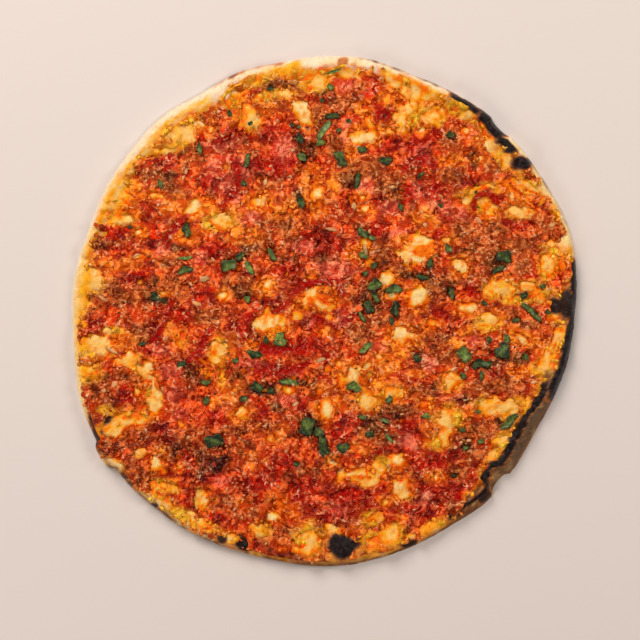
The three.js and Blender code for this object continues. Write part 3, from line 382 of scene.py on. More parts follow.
# Onion: place, length, width, turn, and how clear and greenish it is from 0, creamy, to 1.
ONION = [
    (-36, 77, 4, 2.6, 80, 0.3), (-83.5, 84, 5, 2, 80, 0.3), (-85.5, 79, 4, 1.8, 60, 0.3),
    (-64, 119, 3, 2, 0, 0.3), (-133, 7, 7, 2.2, -35, 0.2), (-77, 4, 6, 3, -22, 0.1),
    (-88, -35, 6, 2.4, 38, 0.4), (-73, 19, 7, 4, 5, 0.9), (-126, -44, 5, 3.6, 30, 0.2),
    (-133, -48, 3.5, 2.6, 0, 0.3), (62, 12, 4.5, 7, 0, 0.8), (136, 51, 4, 3, 0, 0.3),
    (77, -35, 4, 2.6, 30, 0.3), (125, -43, 4, 2.4, 0, 0.2), (86, -78, 3, 2.2, 0, 0.1),
    (78, -82, 3, 2, 30, 0.1), (17, 62, 3, 5, 0, 0.7), (3, 49, 8, 2.6, -20, 0.7),
    (24, 36, 2.6, 8, 10, 0.8), (-114, 33, 7, 2, 20, 0.3), (-128, -24, 9, 2, -30, 0.2),
    (-100, 8, 3, 2.4, 50, 0.1), (59, 51, 4, 3, 30, 0.5), (-3, -30, 6, 3, 20, 0.9),
    (92, 54, 5, 2.6, -50, 0.4), (-20, 96, 4, 2.6, 0, 0.5), (40, 74, 3.5, 2.5, 0, 0.5),
    (-18, -56, 4, 2.4, 30, 0.5),
]

# ---- The stage, in metres ----

FLOOR_SIZE = 6
FLOOR_DROP = 0.0002  # below the bread
WARM_WHITE = (1.0, 0.89, 0.795)
ROOM_LIGHT = 0.138
# Square lamps that face the bread: place, side, watts.
LAMPS = [((-0.55, 1.0, 0.95), 0.7, 16.5), ((1.05, 0.25, 0.85), 0.45, 6.8), ((-0.7, -0.9, 0.75), 0.5, 5.2)]
CAMERA_HEIGHT = 1.104
FRAMED_HEIGHT = 0.004  # of the level at which the camera sees the framed width
FRAMED_WIDTH = 0.384
FRAMED_MIDDLE = (-3.3, -5.7)  # in plan millimetres
SENSOR = 36  # in millimetres


# ---- Soft steps, unevenness and places ----


def radians(degrees):
    """Degrees as radians."""
    return degrees * math.pi / 180


def mix(a, b, share):
    """From a, at share 0, to b, at share 1."""
    return a + (b - a) * share


def smooth(start, end, value):
    """A soft step from 0 at start to 1 at end."""
    share = np.clip((value - start) / (end - start), 0, 1)
    return share * share * (3 - 2 * share)


def degrees_from(degrees, middle):
    """How far directions lie round from a middle one, from -180 to 180."""
    return (degrees - middle + 540) % 360 - 180


def uneven(x, y, reach, length, shift):
    """The solids' own unevenness: four crossing waves, each a little longer than the last."""
    total = 0
    for wave in range(4):
        direction = shift + wave * 2.4
        along = x * math.cos(direction) + y * math.sin(direction)
        total = total + np.sin(TURN * along / (length * (1 + 0.27 * wave)) + shift * (wave + 2))
    return reach * total / 4


def hashed(column, row, seed):
    """A number from 0 to 1 for each cell, always the same."""
    value = np.sin(column * 127.1 + row * 311.7 + seed * 74.7) * 43758.5453
    return value - np.floor(value)


def lumps(x, y, size, seed):
    """Soft irregular unevenness from -1 to 1, with lumps about size across."""
    turn = seed * 1.7
    u = (x * math.cos(turn) - y * math.sin(turn)) / size + 50
    v = (x * math.sin(turn) + y * math.cos(turn)) / size + 50
    column, row = np.floor(u), np.floor(v)
    across, up = smooth(0, 1, u - column), smooth(0, 1, v - row)
    low = mix(hashed(column, row, seed), hashed(column + 1, row, seed), across)
    high = mix(hashed(column, row + 1, seed), hashed(column + 1, row + 1, seed), across)
    return 2 * mix(low, high, up) - 1


def rough(x, y, size, seed):
    """Lumps with half and quarter size lumps on them."""
    finer = 0.5 * lumps(x, y, size / 2, seed + 3) + 0.25 * lumps(x, y, size / 4, seed + 5)
    return (lumps(x, y, size, seed) + finer) / 1.4


def grains(x, y, size, seed):
    """Packed round grains: the height of each one's dome from 0 to 1, and a number that is its own."""
    u, v = x / size, y / size
    column, row = np.floor(u), np.floor(v)
    nearest = np.full(np.shape(x), 9.0)
    own = np.zeros(np.shape(x))
    for i in (-1, 0, 1):
        for j in (-1, 0, 1):
            c, r = column + i, row + j
            away = np.hypot(c + hashed(c, r, seed) - u, r + hashed(c, r, seed + 1) - v)
            own = np.where(away < nearest, hashed(c, r, seed + 2), own)
            nearest = np.minimum(nearest, away)
    return np.sqrt(np.clip(1 - (nearest / 0.8) ** 2, 0, 1)), own


def along_rim(angle, column):
    """One column of RIM at angles in radians, on a smooth curve through its rows."""
    place = (angle / TURN % 1) * len(RIM)
    row = np.floor(place).astype(int)
    t = place - row
    a, b, c, d = (RIM[(row + step) % len(RIM), column] for step in (-1, 0, 1, 2))
    return b + 0.5 * t * (c - a + t * (2 * a - 5 * b + 4 * c - d + t * (3 * (b - c) + d - a)))


def edge_radius(angle):
    """The bread's radius at angles in radians."""
    radius = along_rim(angle, RADIUS)
    for middle, half_width, depth in NICKS:
        away = degrees_from(np.degrees(angle), middle)
        radius = radius - depth * np.maximum(0, 1 - (away / half_width) ** 4)
    return radius


def outline_middle():
    """The middle of the outline's box, which the solids have at the origin."""
    angle = np.arange(120) * TURN / 120
    x, y = edge_radius(angle) * np.cos(angle), edge_radius(angle) * np.sin(angle)
    return (x.min() + x.max()) / 2, (y.min() + y.max()) / 2


MIDDLE_X, MIDDLE_Y = outline_middle()


def share_of(x, y, spot):
    """How far points lie from a spot's middle, as a share of its size: 1 on its outline."""
    at_x, at_y, half_length, half_width, turn = (*spot, 0)[:5]  # a spot may leave out a turn of 0
    cos, sin = math.cos(radians(turn)), math.sin(radians(turn))
    along = ((x - at_x) * cos + (y - at_y) * sin) / half_length
    across = ((y - at_y) * cos - (x - at_x) * sin) / half_width
    return np.hypot(along, across)


def cover_of(x, y, spots, soft=0.5):
    """How fully soft-edged spots cover points, from 0 to 1."""
    fuzz = 1 + 0.25 * rough(x, y, 9, 11) + 0.22 * rough(x, y, 4, 12)
    cover = np.zeros(np.shape(x))
    for spot in spots:
        cover = np.maximum(cover, 1 - smooth(1 - soft, 1 + soft, share_of(x, y, spot) * fuzz))
    return cover


def away_from_run(x, y, run):
    """The distance from a run of sauce."""
    nearest = np.full(np.shape(x), 99.0)
    for (ax, ay), (bx, by) in zip(run, run[1:]):
        dx, dy = bx - ax, by - ay
        t = np.clip(((x - ax) * dx + (y - ay) * dy) / (dx * dx + dy * dy), 0, 1)
        nearest = np.minimum(nearest, np.hypot(x - ax - t * dx, y - ay - t * dy))
    return nearest


# ---- The bread's surfaces ----


def domed(share):
    """How high a blister's dome is, from 1 in its middle down, at a share of its size."""
    return np.exp(-0.7 * share**3)


class Ground:
    """The bread over plan points: its surfaces in millimetres, and where its topping has gaps, oil and
    runs of sauce."""

    def __init__(self, x, y):
        self.x, self.y = x, y
        self.angle = np.arctan2(y, x)
        self.inset = edge_radius(self.angle) - np.hypot(x, y)
        self.bare_width = along_rim(self.angle, BARE_WIDTH)
        self.oil = cover_of(x, y, ZONES["amber"])
        self.core = cover_of(x, y, SAUCED_CORES, 0.35)
        self.low_side = smooth(60, 120, -0.5 * x - y)
        self.gap = np.full(np.shape(x), -9.0)  # 1 in the middle of a gap, 0 on its outline
        self.orange = np.full(np.shape(x), 0.5)  # how orange the dough in it is
        self.rise = np.zeros(np.shape(x))  # how far the dough is raised
        self.open_spots()
        self.open_lace()
        self.cross_gaps()
        self.raise_dough()
        self.lay_topping()

    def opened(self, gap, orange, rise):
        """Opens the topping where gap is more than it was, over dough this orange and raised this far."""
        self.orange = np.where(gap > self.gap, orange, self.orange)
        self.gap = np.maximum(self.gap, gap)
        self.rise = np.maximum(self.rise, rise)

    def open_spots(self):
        """Opens the blisters and the smaller gaps with ragged outlines, and leaves sauce in some."""
        x, y = self.x, self.y
        self.away = np.full(np.shape(x), 99.0)  # from the nearest gap's outline
        for spot in BLISTERS + GAPS:
            away = (share_of(x, y, spot) - 1) * math.sqrt(spot[2] * spot[3])
            self.away = np.minimum(self.away, away)
        ragged = 0.3 * rough(x, y, 10, 4) + 0.2 * rough(x, y, 4.5, 6) + uneven(x, y, 0.14, 11, 1.3)
        for *spot, rise in BLISTERS:
            share = share_of(x, y, spot) * (1 + 1.15 * ragged)
            self.opened(1 - share, BLISTER_ORANGE, rise * domed(share))
        for at_x, at_y, half_length, half_width, turn, orange in GAPS:
            widened = (at_x, at_y, half_length + GAP_WIDENED, half_width + GAP_WIDENED, turn)
            share = share_of(x, y, widened) * (1 + 1.5 * ragged)
            self.opened(0.8 - share, orange, GAP_RISE * domed(share))
        self.gap = self.gap - 0.45 * self.core * (self.gap > 0)

    def open_lace(self):
        """Lets dough show through as lace where the topping is all oil, and beside a narrow bare rim."""
        x, y = self.x, self.y
        by_rim = smooth(16, 5, self.inset) * smooth(12.5, 9, self.bare_width) * (1 - 0.6 * self.low_side)
        oily = mix(0.92, 1.14, smooth(-90, -120, x)) * self.oil
        lace = 0.9 * rough(x, y, 8, 81) - 0.72 + np.maximum(oily, 0.6 * by_rim)
        orange = mix(0.65, 0.05, self.oil) + 0.4 * rough(x, y, 14, 82)
        self.opened(lace, orange, LACE_RISE * smooth(-0.15, 0.3, lace))

    def cross_gaps(self):
        """Lets threads of topping and the runs of sauce cross the gaps."""
        x, y = self.x, self.y
        threads = smooth(0.86, 1.0, 1 - np.abs(rough(x, y, 15, 84)))
        wander_x, wander_y = x + 1.5 * rough(x, y, 7, 55), y + 1.5 * rough(x, y, 7, 56)
        self.run = np.zeros(np.shape(x))
        for run in RUNS:
            away = away_from_run(wander_x, wander_y, run)
            self.run = np.maximum(self.run, 1 - smooth(1.8, 2.8, away))
        self.gap = self.gap - 0.5 * threads - 0.8 * self.run

    def raise_dough(self):
        """Sets the dough's surface: the swollen rim, the flat dough inside it and what is raised."""
        sizes = bpy.context.scene.lahmacun_sizes
        crest = along_rim(self.angle, CREST) + uneven(self.x, self.y, 0.5, 17, 0.4)
        crest_inset = along_rim(self.angle, CREST_INSET)
        flat = sizes.dough_thickness + uneven(self.x, self.y, 0.25, 45, 2.1)
        climb = np.clip(self.inset / crest_inset, 0, 1) ** SWELL_FULLNESS
        swell = mix(EDGE_HEIGHT, crest, np.sin(math.pi / 2 * climb))
        fall = mix(crest, flat, smooth(crest_inset, crest_inset + RIM_FALL, self.inset))
        self.dough = np.where(self.inset < crest_inset, swell, fall) + self.rise * smooth(0, 3, self.inset)

    def lay_topping(self):
        """Sets where the topping begins, how fully it covers the dough, and its surface."""
        x, y = self.x, self.y
        sizes = bpy.context.scene.lahmacun_sizes
        wide = self.bare_width
        begins = wide - 3 * smooth(11, 7, wide) + 2.6 * rough(x, y, 10, 7) + 1.2 * rough(x, y, 4, 8)
        begins = begins + 1.8 * smooth(120, 190, y - x)  # further in at the upper left
        begins = begins - 1.8 * smooth(100, 170, -x - y)  # nearer the edge at the lower left
        begins = begins + 1.6 * smooth(125, 148, -x) * smooth(60, 20, y)  # further in at the far left
        begins = begins - 2.4 * smooth(22, 12, np.hypot(x + 129, y + 86))  # and spilt over in one place
        self.from_topping = self.inset - begins
        bare = smooth(-0.3, 0.14, self.gap + 0.22 * rough(x, y, 3.2, 85))
        self.cover = smooth(-1.2, 1.6, self.from_topping) * (1 - bare)
        clumps = uneven(x, y, 0.55, 15, 0.9) + uneven(x, y, 0.45, 7.5, 1.7)
        self.topping = self.dough + sizes.topping_thickness + clumps


# ---- Colours ----


def srgb(red, green, blue):
    """A colour given as 0 to 255 on screen, as linear light."""
    screen = np.array([red, green, blue]) / 255
    return np.where(screen <= 0.04045, screen / 12.92, ((screen + 0.055) / 1.055) ** 2.4)


def paint(colours, tint, share):
    """Lays a tint over colours, as fully as share says at each point."""
    return colours + (tint - colours) * np.reshape(share, (-1, 1))


def shaded(colours, share):
    """Colours made darker, or lighter above 1, by a share for each point."""
    return colours * np.reshape(share, (-1, 1))


def filled(colour, count):
    """One colour, given to each of count points."""
    return np.tile(colour, (count, 1))


# ---- Sizes and colours that can be changed ----


def colour_property(name, description, default):
    """A colour with its picker, from 0 to 255 on screen, kept in linear light."""
    linear = tuple(srgb(*default))
    return FloatVectorProperty(
        name=name, description=description, default=linear, size=3, min=0, max=1, subtype="COLOR"
    )


def size_property(name, description, default, least, most):
    """A length in millimetres."""
    in_mm = description + ", in mm"
    return FloatProperty(name=name, description=in_mm, default=default, min=least, max=most)


class LahmacunSizes(bpy.types.PropertyGroup):
    """Sizes in millimetres, and how fine the two large meshes are."""

    dough_thickness: size_property("Dough thickness", "Of the dough under the topping", 2.8, 1, 6)
    topping_thickness: size_property("Topping thickness", "Of the spread over the dough", 2.3, 1, 5)
    crumb_size: size_property("Crumb size", "Length of a middling crumb of mince", 3.3, 1, 8)
    leaf_thickness: size_property("Leaf thickness", "Of the parsley", 0.35, 0.1, 1)
    dough_cells: IntProperty(
        name="Dough cells", description="Across the dough's upper face", default=256, min=20, max=290
    )
    topping_cells: IntProperty(
        name="Topping cells", description="Across the spread's upper face", default=296, min=20, max=300
    )


class LahmacunColours(bpy.types.PropertyGroup):
    """Colours of the foods and of the floor."""

    cream: colour_property("Cream", "Bare dough that has stayed pale", (252, 220, 154))
    pale: colour_property("Pale crust", "Floury crust on the rim", (252, 232, 204))
    yellow: colour_property("Yellow", "Dough soaked in oil", (255, 184, 28))
    orange: colour_property("Orange", "Dough stained by the sauce", (252, 128, 8))
    toast: colour_property("Toast", "Lightly browned crust", (206, 132, 76))
    brown: colour_property("Brown crust", "Browned crust", (134, 82, 44))
    ash: colour_property("Ash", "Scorched outer slope of the rim", (116, 90, 66))
    char: colour_property("Char", "Burnt crust", (25, 18, 20))
    worn_char: colour_property("Worn char", "Burnt crust where it is rubbed", (69, 56, 58))
    sauced: colour_property("Sauced mince", "Mince coated in sauce", (228, 94, 28))
    pooled: colour_property("Pooled sauce", "Runs of dark sauce", (182, 12, 2))
    red_zone: colour_property("Red zones", "Tomato sauce and pulp", (204, 36, 2))
    # Partly pale pulp and partly painted pink sheen of glossy sauce.
    rose_zone: colour_property("Rose zones", "Soft, pale tomato pulp", (248, 126, 98))
    orange_zone: colour_property("Orange zones", "Mince in orange oil", (252, 142, 28))
    amber_zone: colour_property("Amber zones", "Dough and mince in yellow oil", (255, 192, 48))
    brown_zone: colour_property("Brown zones", "Browned mince", (206, 108, 44))
    burnt_zone: colour_property("Burnt zones", "Topping that has caught", (58, 40, 36))
    dusk_zone: colour_property("Dusk zones", "The darkest mince", (134, 73, 30))
    pale_meat: colour_property("Pale mince", "Crumbs that stayed pale", (244, 160, 90))
    # Partly pale fat, partly painted sheen: it also stands for wet highlights on the mince.
    fat: colour_property("Fat", "Pale fat in the mince", (251, 174, 110))
    # Painted highlights: glint and spark are the wet lines and spots of light drawn on the mince.
    glint: colour_property("Glint", "Wet lines on the mince", (255, 204, 146))
    spark: colour_property("Spark", "The brightest wet spots", (255, 226, 200))
    onion: colour_property("Onion", "Softened onion", (236, 188, 130))
    clear_onion: colour_property("Clear onion", "Onion cooked clear and greenish", (186, 166, 116))
    leaf_dark: colour_property("Dark parsley", "The darkest parsley", (36, 50, 32))
    leaf_light: colour_property("Light parsley", "The lightest parsley", (124, 146, 70))
    leaf_blue: colour_property("Bluish parsley", "Parsley where its skin is waxy", (120, 160, 128))
    herb: colour_property("Herbs", "Flecks of dried herbs", (66, 62, 30))
    pepper: colour_property("Pepper", "Flecks of pepper", (46, 34, 22))
    floor: colour_property("Floor", "The plain floor", (233, 227, 226))


def palette():
    """The scene's colours as arrays in linear light."""
    colours = bpy.context.scene.lahmacun_colours
    return {name: np.array(getattr(colours, name)) for name in LahmacunColours.__annotations__}


# ---- Mesh helpers ----


def deselect():
    """Leaves object mode with nothing selected."""
    if bpy.context.object and bpy.context.object.mode != "OBJECT":
        bpy.ops.object.mode_set(mode="OBJECT")
    bpy.ops.object.select_all(action="DESELECT")


def points_of(piece):
    """A mesh's points as rows of x, y, z."""
    flat = np.zeros(len(piece.data.vertices) * 3)
    piece.data.vertices.foreach_get("co", flat)
    return flat.reshape(-1, 3)


def set_points(piece, points):
    """Moves a mesh's points to rows of x, y, z."""
    piece.data.vertices.foreach_set("co", np.ravel(points))
    piece.data.update()


def set_attribute(piece, name, values):
    """Keeps a number, or a colour, for each point of a mesh."""
    if np.ndim(values) == 2:
        attribute = piece.data.attributes.new(name, "FLOAT_COLOR", "POINT")
        rows = np.column_stack([np.clip(values, 0, 1), np.ones(len(values))])
        attribute.data.foreach_set("color", rows.ravel())
    else:
        attribute = piece.data.attributes.new(name, "FLOAT", "POINT")
        attribute.data.foreach_set("value", np.ravel(values))


def round_off(u, v):
    """Maps a square from -1 to 1 onto a disc without crowding: the angle and the share of the radius."""
    wide = np.abs(u) > np.abs(v)
    safe_u, safe_v = np.where(u == 0, 1, u), np.where(v == 0, 1, v)
    angle = np.where(wide, math.pi / 4 * v / safe_u, math.pi / 2 - math.pi / 4 * u / safe_v)
    share = np.where(wide, u, v)
    return np.where(share < 0, angle + math.pi, angle), np.abs(share)


def round_slab(name, cells, radius_at, steps):
    """A flat disc with its outline at radius_at, closed below. The edge of a round grid is extruded down
    by 1 for each step, a share of the outline, and gathered at the middle."""
    deselect()
    bpy.ops.mesh.primitive_grid_add(x_subdivisions=cells, y_subdivisions=cells, size=2)
    slab = bpy.context.object
    slab.name = name
    points = points_of(slab)
    angle, share = round_off(points[:, 0], points[:, 1])
    radius = share * radius_at(angle)
    set_points(slab, np.column_stack([radius * np.cos(angle), radius * np.sin(angle), 0 * radius]))
    bpy.ops.object.mode_set(mode="EDIT")
    bpy.ops.mesh.select_mode(type="EDGE")
    bpy.ops.mesh.select_all(action="DESELECT")
    bpy.ops.mesh.select_non_manifold()
    before = 1
    for scale in steps:
        bpy.ops.mesh.extrude_region_move(TRANSFORM_OT_translate={"value": (0, 0, -1)})
        shrink = scale / before
        bpy.ops.transform.resize(value=(shrink, shrink, 1), center_override=(0, 0, 0))
        before = scale
    bpy.ops.mesh.merge(type="CENTER")
    bpy.ops.object.mode_set(mode="OBJECT")
    bpy.ops.object.shade_smooth()
    return slab


def plan_of(slab):
    """A round slab's points as x, y and the level below its upper face, 0 on the face."""
    points = points_of(slab)
    return points[:, 0], points[:, 1], np.round(-points[:, 2]).astype(int)


def taken(piece):
    """A mesh of triangles, taken out of the scene: its points and its triangles."""
    points = points_of(piece)
    faces = np.zeros(len(piece.data.polygons) * 3, int)
    piece.data.polygons.foreach_get("vertices", faces)
    mesh = piece.data
    bpy.data.objects.remove(piece)
    bpy.data.meshes.remove(mesh)
    return points, faces.reshape(-1, 3)


def to_place(piece):
    """Turns a piece's plan millimetres into metres about the solids' origin."""
    set_points(piece, (points_of(piece) - (MIDDLE_X, MIDDLE_Y, 0)) * MM)


def finish_piece(piece, material, slot, *nodes):
    """Gives a piece its material, its slot, its body and the nodes that it stands for."""
    piece.data.materials.clear()
    piece.data.materials.append(material)
    if nodes:
        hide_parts(*nodes)
    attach(piece, "root")


# ---- Materials ----


class Finish:
    """A material being made: its nodes and links, by the names of what they do."""

    def __init__(self, name, roughness, **sockets):
        self.material = bpy.data.materials.new(name)
        self.material.use_nodes = True
        self.tree = self.material.node_tree
        self.shader = self.tree.nodes["Principled BSDF"]
        self.shader.inputs["Roughness"].default_value = roughness
        self.shader.inputs["IOR"].default_value = FOOD_IOR
        self.shader.inputs["Specular IOR Level"].default_value = FOOD_SPECULAR
        for socket, value in sockets.items():
            self.shader.inputs[socket.replace("_", " ")].default_value = value
        self.place = self.tree.nodes.new("ShaderNodeTexCoord").outputs["Object"]

    def node(self, kind, settings=None, **inputs):
        """A node of a kind, with its settings and its inputs, each a value or another node's output."""
        made = self.tree.nodes.new(kind)
        for name, value in (settings or {}).items():
            setattr(made, name, value)
        for name, value in inputs.items():
            self.plug(value, made.inputs[name.replace("_", " ")])
        return made

    def plug(self, value, socket):
        """Sets a socket to a value, or links it to an output."""
        if isinstance(value, bpy.types.NodeSocket):
            self.tree.links.new(value, socket)
        else:
            socket.default_value = value

    def attribute(self, name):
        """What a mesh keeps at its points under a name: its colour and its value."""
        return self.node("ShaderNodeAttribute", {"attribute_name": name}).outputs

    def noise(self, size_mm, detail=3.0, roughness=0.55, swirl=0.0):
        """Noise from 0 to 1 with marks about size_mm across, drawn out into worms by a swirl."""
        made = self.node(
            "ShaderNodeTexNoise", Vector=self.place, Scale=1000 / size_mm, Detail=detail,
            Roughness=roughness, Distortion=swirl,
        )
        return made.outputs[0]

    def ranged(self, value, low, high, to_low, to_high):
        """Maps a value from one range to another and holds it there."""
        settings = {"interpolation_type": "SMOOTHSTEP"}
        made = self.node("ShaderNodeMapRange", settings, Value=value, From_Min=low, From_Max=high)
        self.plug(to_low, made.inputs["To Min"])
        self.plug(to_high, made.inputs["To Max"])
        return made.outputs[0]

    def mixed(self, factor, a, b):
        """One colour over another."""
        made = self.node("ShaderNodeMix", {"data_type": "RGBA"})
        self.plug(factor, made.inputs[0])
        self.plug(a, made.inputs[6])
        self.plug(b, made.inputs[7])
        return made.outputs[2]

    def math(self, operation, a, b=0.0):
        """Arithmetic on two values."""
        made = self.node("ShaderNodeMath", {"operation": operation})
        self.plug(a, made.inputs[0])
        self.plug(b, made.inputs[1])
        return made.outputs[0]

    def times(self, a, b):
        """The product of two values."""
        return self.math("MULTIPLY", a, b)

    def plus(self, a, b):
        """The sum of two values."""
        return self.math("ADD", a, b)

    def less(self, a, b):
        """One value less another."""
        return self.math("SUBTRACT", a, b)

    def line(self, value, level, width, strength):
        """A thin line, up to a strength, where a value passes a level."""
        away = self.math("ABSOLUTE", self.less(value, level))
        return self.ranged(away, 0, width, strength, 0)

    def bump(self, height, depth_mm):
        """Relief too fine for the mesh."""
        made = self.node("ShaderNodeBump", Height=height, Strength=1.0, Distance=depth_mm * MM)
        self.plug(made.outputs[0], self.shader.inputs["Normal"])

    def brightened(self, colour, value):
        """A colour with its brightness turned up or down."""
        return self.node("ShaderNodeHueSaturation", Color=colour, Value=value).outputs[0]

    def deepened(self, colour, gamma):
        """A colour made darker and fuller by a gamma above 1."""
        return self.node("ShaderNodeGamma", Color=colour, Gamma=gamma).outputs[0]

    def done(self, colour):
        """The material, with this colour."""
        self.plug(colour, self.shader.inputs["Base Color"])
        return self.material


def rgba(colour):
    """A colour as a node socket wants it."""
    return (*map(float, colour), 1.0)


def dough_material():
    """Baked dough: mottled, oily where it is stained, rough and cracked where it is burnt."""
    colours = palette()
    finish = Finish(
        "baked_dough", 0.6, Subsurface_Weight=0.25, Subsurface_Radius=(1.0, 0.4, 0.12),
        Subsurface_Scale=0.002,
    )
    tint = finish.attribute("tint")["Color"]
    burnt = finish.attribute("burnt")["Fac"]
    oily = finish.attribute("oily")["Fac"]
    half_oily = finish.times(oily, 0.5)
    colour = finish.brightened(tint, finish.ranged(finish.noise(2.6), 0.3, 0.7, 0.95, 1.14))

    stains = finish.ranged(finish.noise(4.2, 4, 0.6, 0.8), 0.52, 0.68, 0, 0.9)
    stains = finish.times(stains, finish.plus(half_oily, 0.45))
    colour = finish.mixed(stains, colour, finish.deepened(colour, 2.0))
    freckles = finish.ranged(finish.noise(1.4, 4), 0.6, 0.72, 0, 0.45)
    freckled = finish.ranged(finish.noise(11), 0.45, 0.6, 0, 1)
    colour = finish.mixed(finish.times(freckles, freckled), colour, rgba(colours["toast"]))

    spots = finish.ranged(finish.noise(13, 4), 0.53, 0.6, 0, 1)
    height = finish.node("ShaderNodeSeparateXYZ", Vector=finish.place).outputs["Z"]
    below = finish.ranged(height, 0.4 * MM, 1 * MM, 1, 0)
    colour = finish.mixed(finish.times(spots, below), colour, rgba(colours["brown"] * 0.7))
    rubbed = finish.ranged(finish.noise(2.2, 5), 0.45, 0.75, 0, 0.6)
    char = finish.mixed(rubbed, rgba(colours["char"]), rgba(colours["worn_char"]))
    colour = finish.mixed(burnt, colour, char)

    smoothness = finish.times(finish.math("MAXIMUM", oily, burnt), 0.28)
    roughness = finish.less(finish.ranged(finish.noise(3), 0.3, 0.7, 0.52, 0.68), smoothness)
    finish.plug(roughness, finish.shader.inputs["Roughness"])
    wrinkles = finish.noise(3.4, 3, 0.6, 0.8)
    # Painted shade: the colour is deepened along the wrinkles, as shade in their creases.
    creases = finish.times(finish.line(wrinkles, 0.5, 0.035, 0.8), finish.less(1.0, burnt))
    creases = finish.times(creases, finish.plus(half_oily, 0.4))
    colour = finish.mixed(creases, colour, finish.deepened(colour, 2.4))
    finish.bump(finish.plus(finish.noise(1.1, 5), finish.times(wrinkles, 2.6)), 0.3)
    return finish.done(colour)


def moist_material(name, roughness, grain_mm, depth_mm, deep=0.68, fat=0.5):
    """Moist food whose colour is kept in the mesh, in fine wet worms. The lower deep is, the darker it is
    between them. Fat is how much of them is pale. Where the mesh says sauce, its colour is even."""
    colours = palette()
    finish = Finish(name, roughness)
    tint = finish.attribute("tint")["Color"]
    sauce = finish.attribute("sauce")["Fac"]
    worms = finish.noise(grain_mm, 2.0, 0.5, 1.0)
    fine = finish.noise(grain_mm * 0.45, 2.0)
    relief = finish.plus(worms, finish.times(fine, 0.2))
    patches = finish.ranged(finish.noise(11, 2.0), 0.42, 0.62, 0.25, 1.0)

    # Painted shade in the troughs between the worms and painted light on their crests.
    dark = finish.brightened(finish.deepened(tint, 2.5 - deep), deep)
    light = finish.brightened(tint, finish.ranged(relief, 0.55, 0.85, 0.98, 1.65))
    # Pale marks on the crests: partly fatty bits, partly painted sheen.
    fat_and_sheen_marks = finish.noise(grain_mm * 0.75, 2.0, 0.5, 1.2)
    fat_and_sheen_marks = finish.times(finish.ranged(fat_and_sheen_marks, 0.56, 0.72, 0, 1.5 * fat), patches)
    light = finish.mixed(fat_and_sheen_marks, light, rgba(colours["fat"]))
    crests = finish.mixed(finish.ranged(relief, 0.42, 0.7, 0, 1), dark, light)
    colour = finish.mixed(sauce, crests, tint)

    dry = finish.less(1.0, finish.times(sauce, 0.8))
    # Painted shade: dark lines along the worms, where their creases would be in shade.
    crease_shade = finish.times(finish.line(worms, 0.46, 0.045, 0.62), dry)
    colour = finish.mixed(crease_shade, colour, dark)
    # Painted highlights: pale glints along the worms and brighter sparks, as if wet and lit.
    glints = finish.times(finish.line(worms, 0.58, 0.06, 1.15 * fat), patches)
    glints = finish.times(glints, finish.ranged(fine, 0.42, 0.58, 0.1, 1))
    colour = finish.mixed(glints, colour, rgba(colours["glint"]))
    sparks = finish.times(finish.line(worms, 0.59, 0.035, 2 * fat), patches)
    sparks = finish.times(sparks, finish.ranged(fine, 0.56, 0.64, 0, 1))
    colour = finish.mixed(sparks, colour, rgba(colours["spark"]))
    finish.bump(relief, depth_mm)
    return finish.done(colour)


def leaf_material():
    """Parsley: satin, in the tints kept in the mesh."""
    finish = Finish("parsley_leaf", 0.42, Coat_Weight=0.15, Coat_Roughness=0.25)
    tint = finish.attribute("tint")["Color"]
    shade = finish.ranged(finish.noise(1.9, 3), 0.34, 0.66, 0.5, 1.35)
    finish.bump(finish.noise(1.0, 3), 0.2)
    return finish.done(finish.brightened(tint, shade))


def onion_material():
    """Softened onion: pale, wet and a little see-through."""
    finish = Finish(
        "softened_onion", 0.3, Coat_Weight=0.4, Coat_Roughness=0.1, Subsurface_Weight=0.3,
        Subsurface_Radius=(1.0, 0.6, 0.3), Subsurface_Scale=0.001,
    )
    tint = finish.attribute("tint")["Color"]
    shade = finish.ranged(finish.noise(1.5, 3), 0.3, 0.7, 0.82, 1.12)
    finish.bump(finish.noise(1.2, 3), 0.1)
    return finish.done(finish.brightened(tint, shade))


# ---- The dough ----


def rim_tones(ground):
    """How fully each tone lies on the rim, from 0 to 1, in order."""
    x, y = ground.x, ground.y
    fray = 1.4 * rough(x, y, 12, 21) + 1.0 * rough(x, y, 4, 24)
    fray_fine = 0.5 * rough(x, y, 2.2, 22)
    for start, end, near, far, tone, strength in RIM_TONES:
        inset = ground.inset + fray * min(1, (far - near) / 5) + fray_fine
        band = smooth(near - 0.7, near + 0.7, inset) * (1 - smooth(far - 0.8, far + 0.8, inset))
        reach = (end - start) / 2
        away = np.abs(degrees_from(np.degrees(ground.angle), (start + end) / 2))
        ends = 1 - smooth(reach - 1.0, reach + 1.4, away + 0.5 * fray)
        yield tone, strength * band * ends


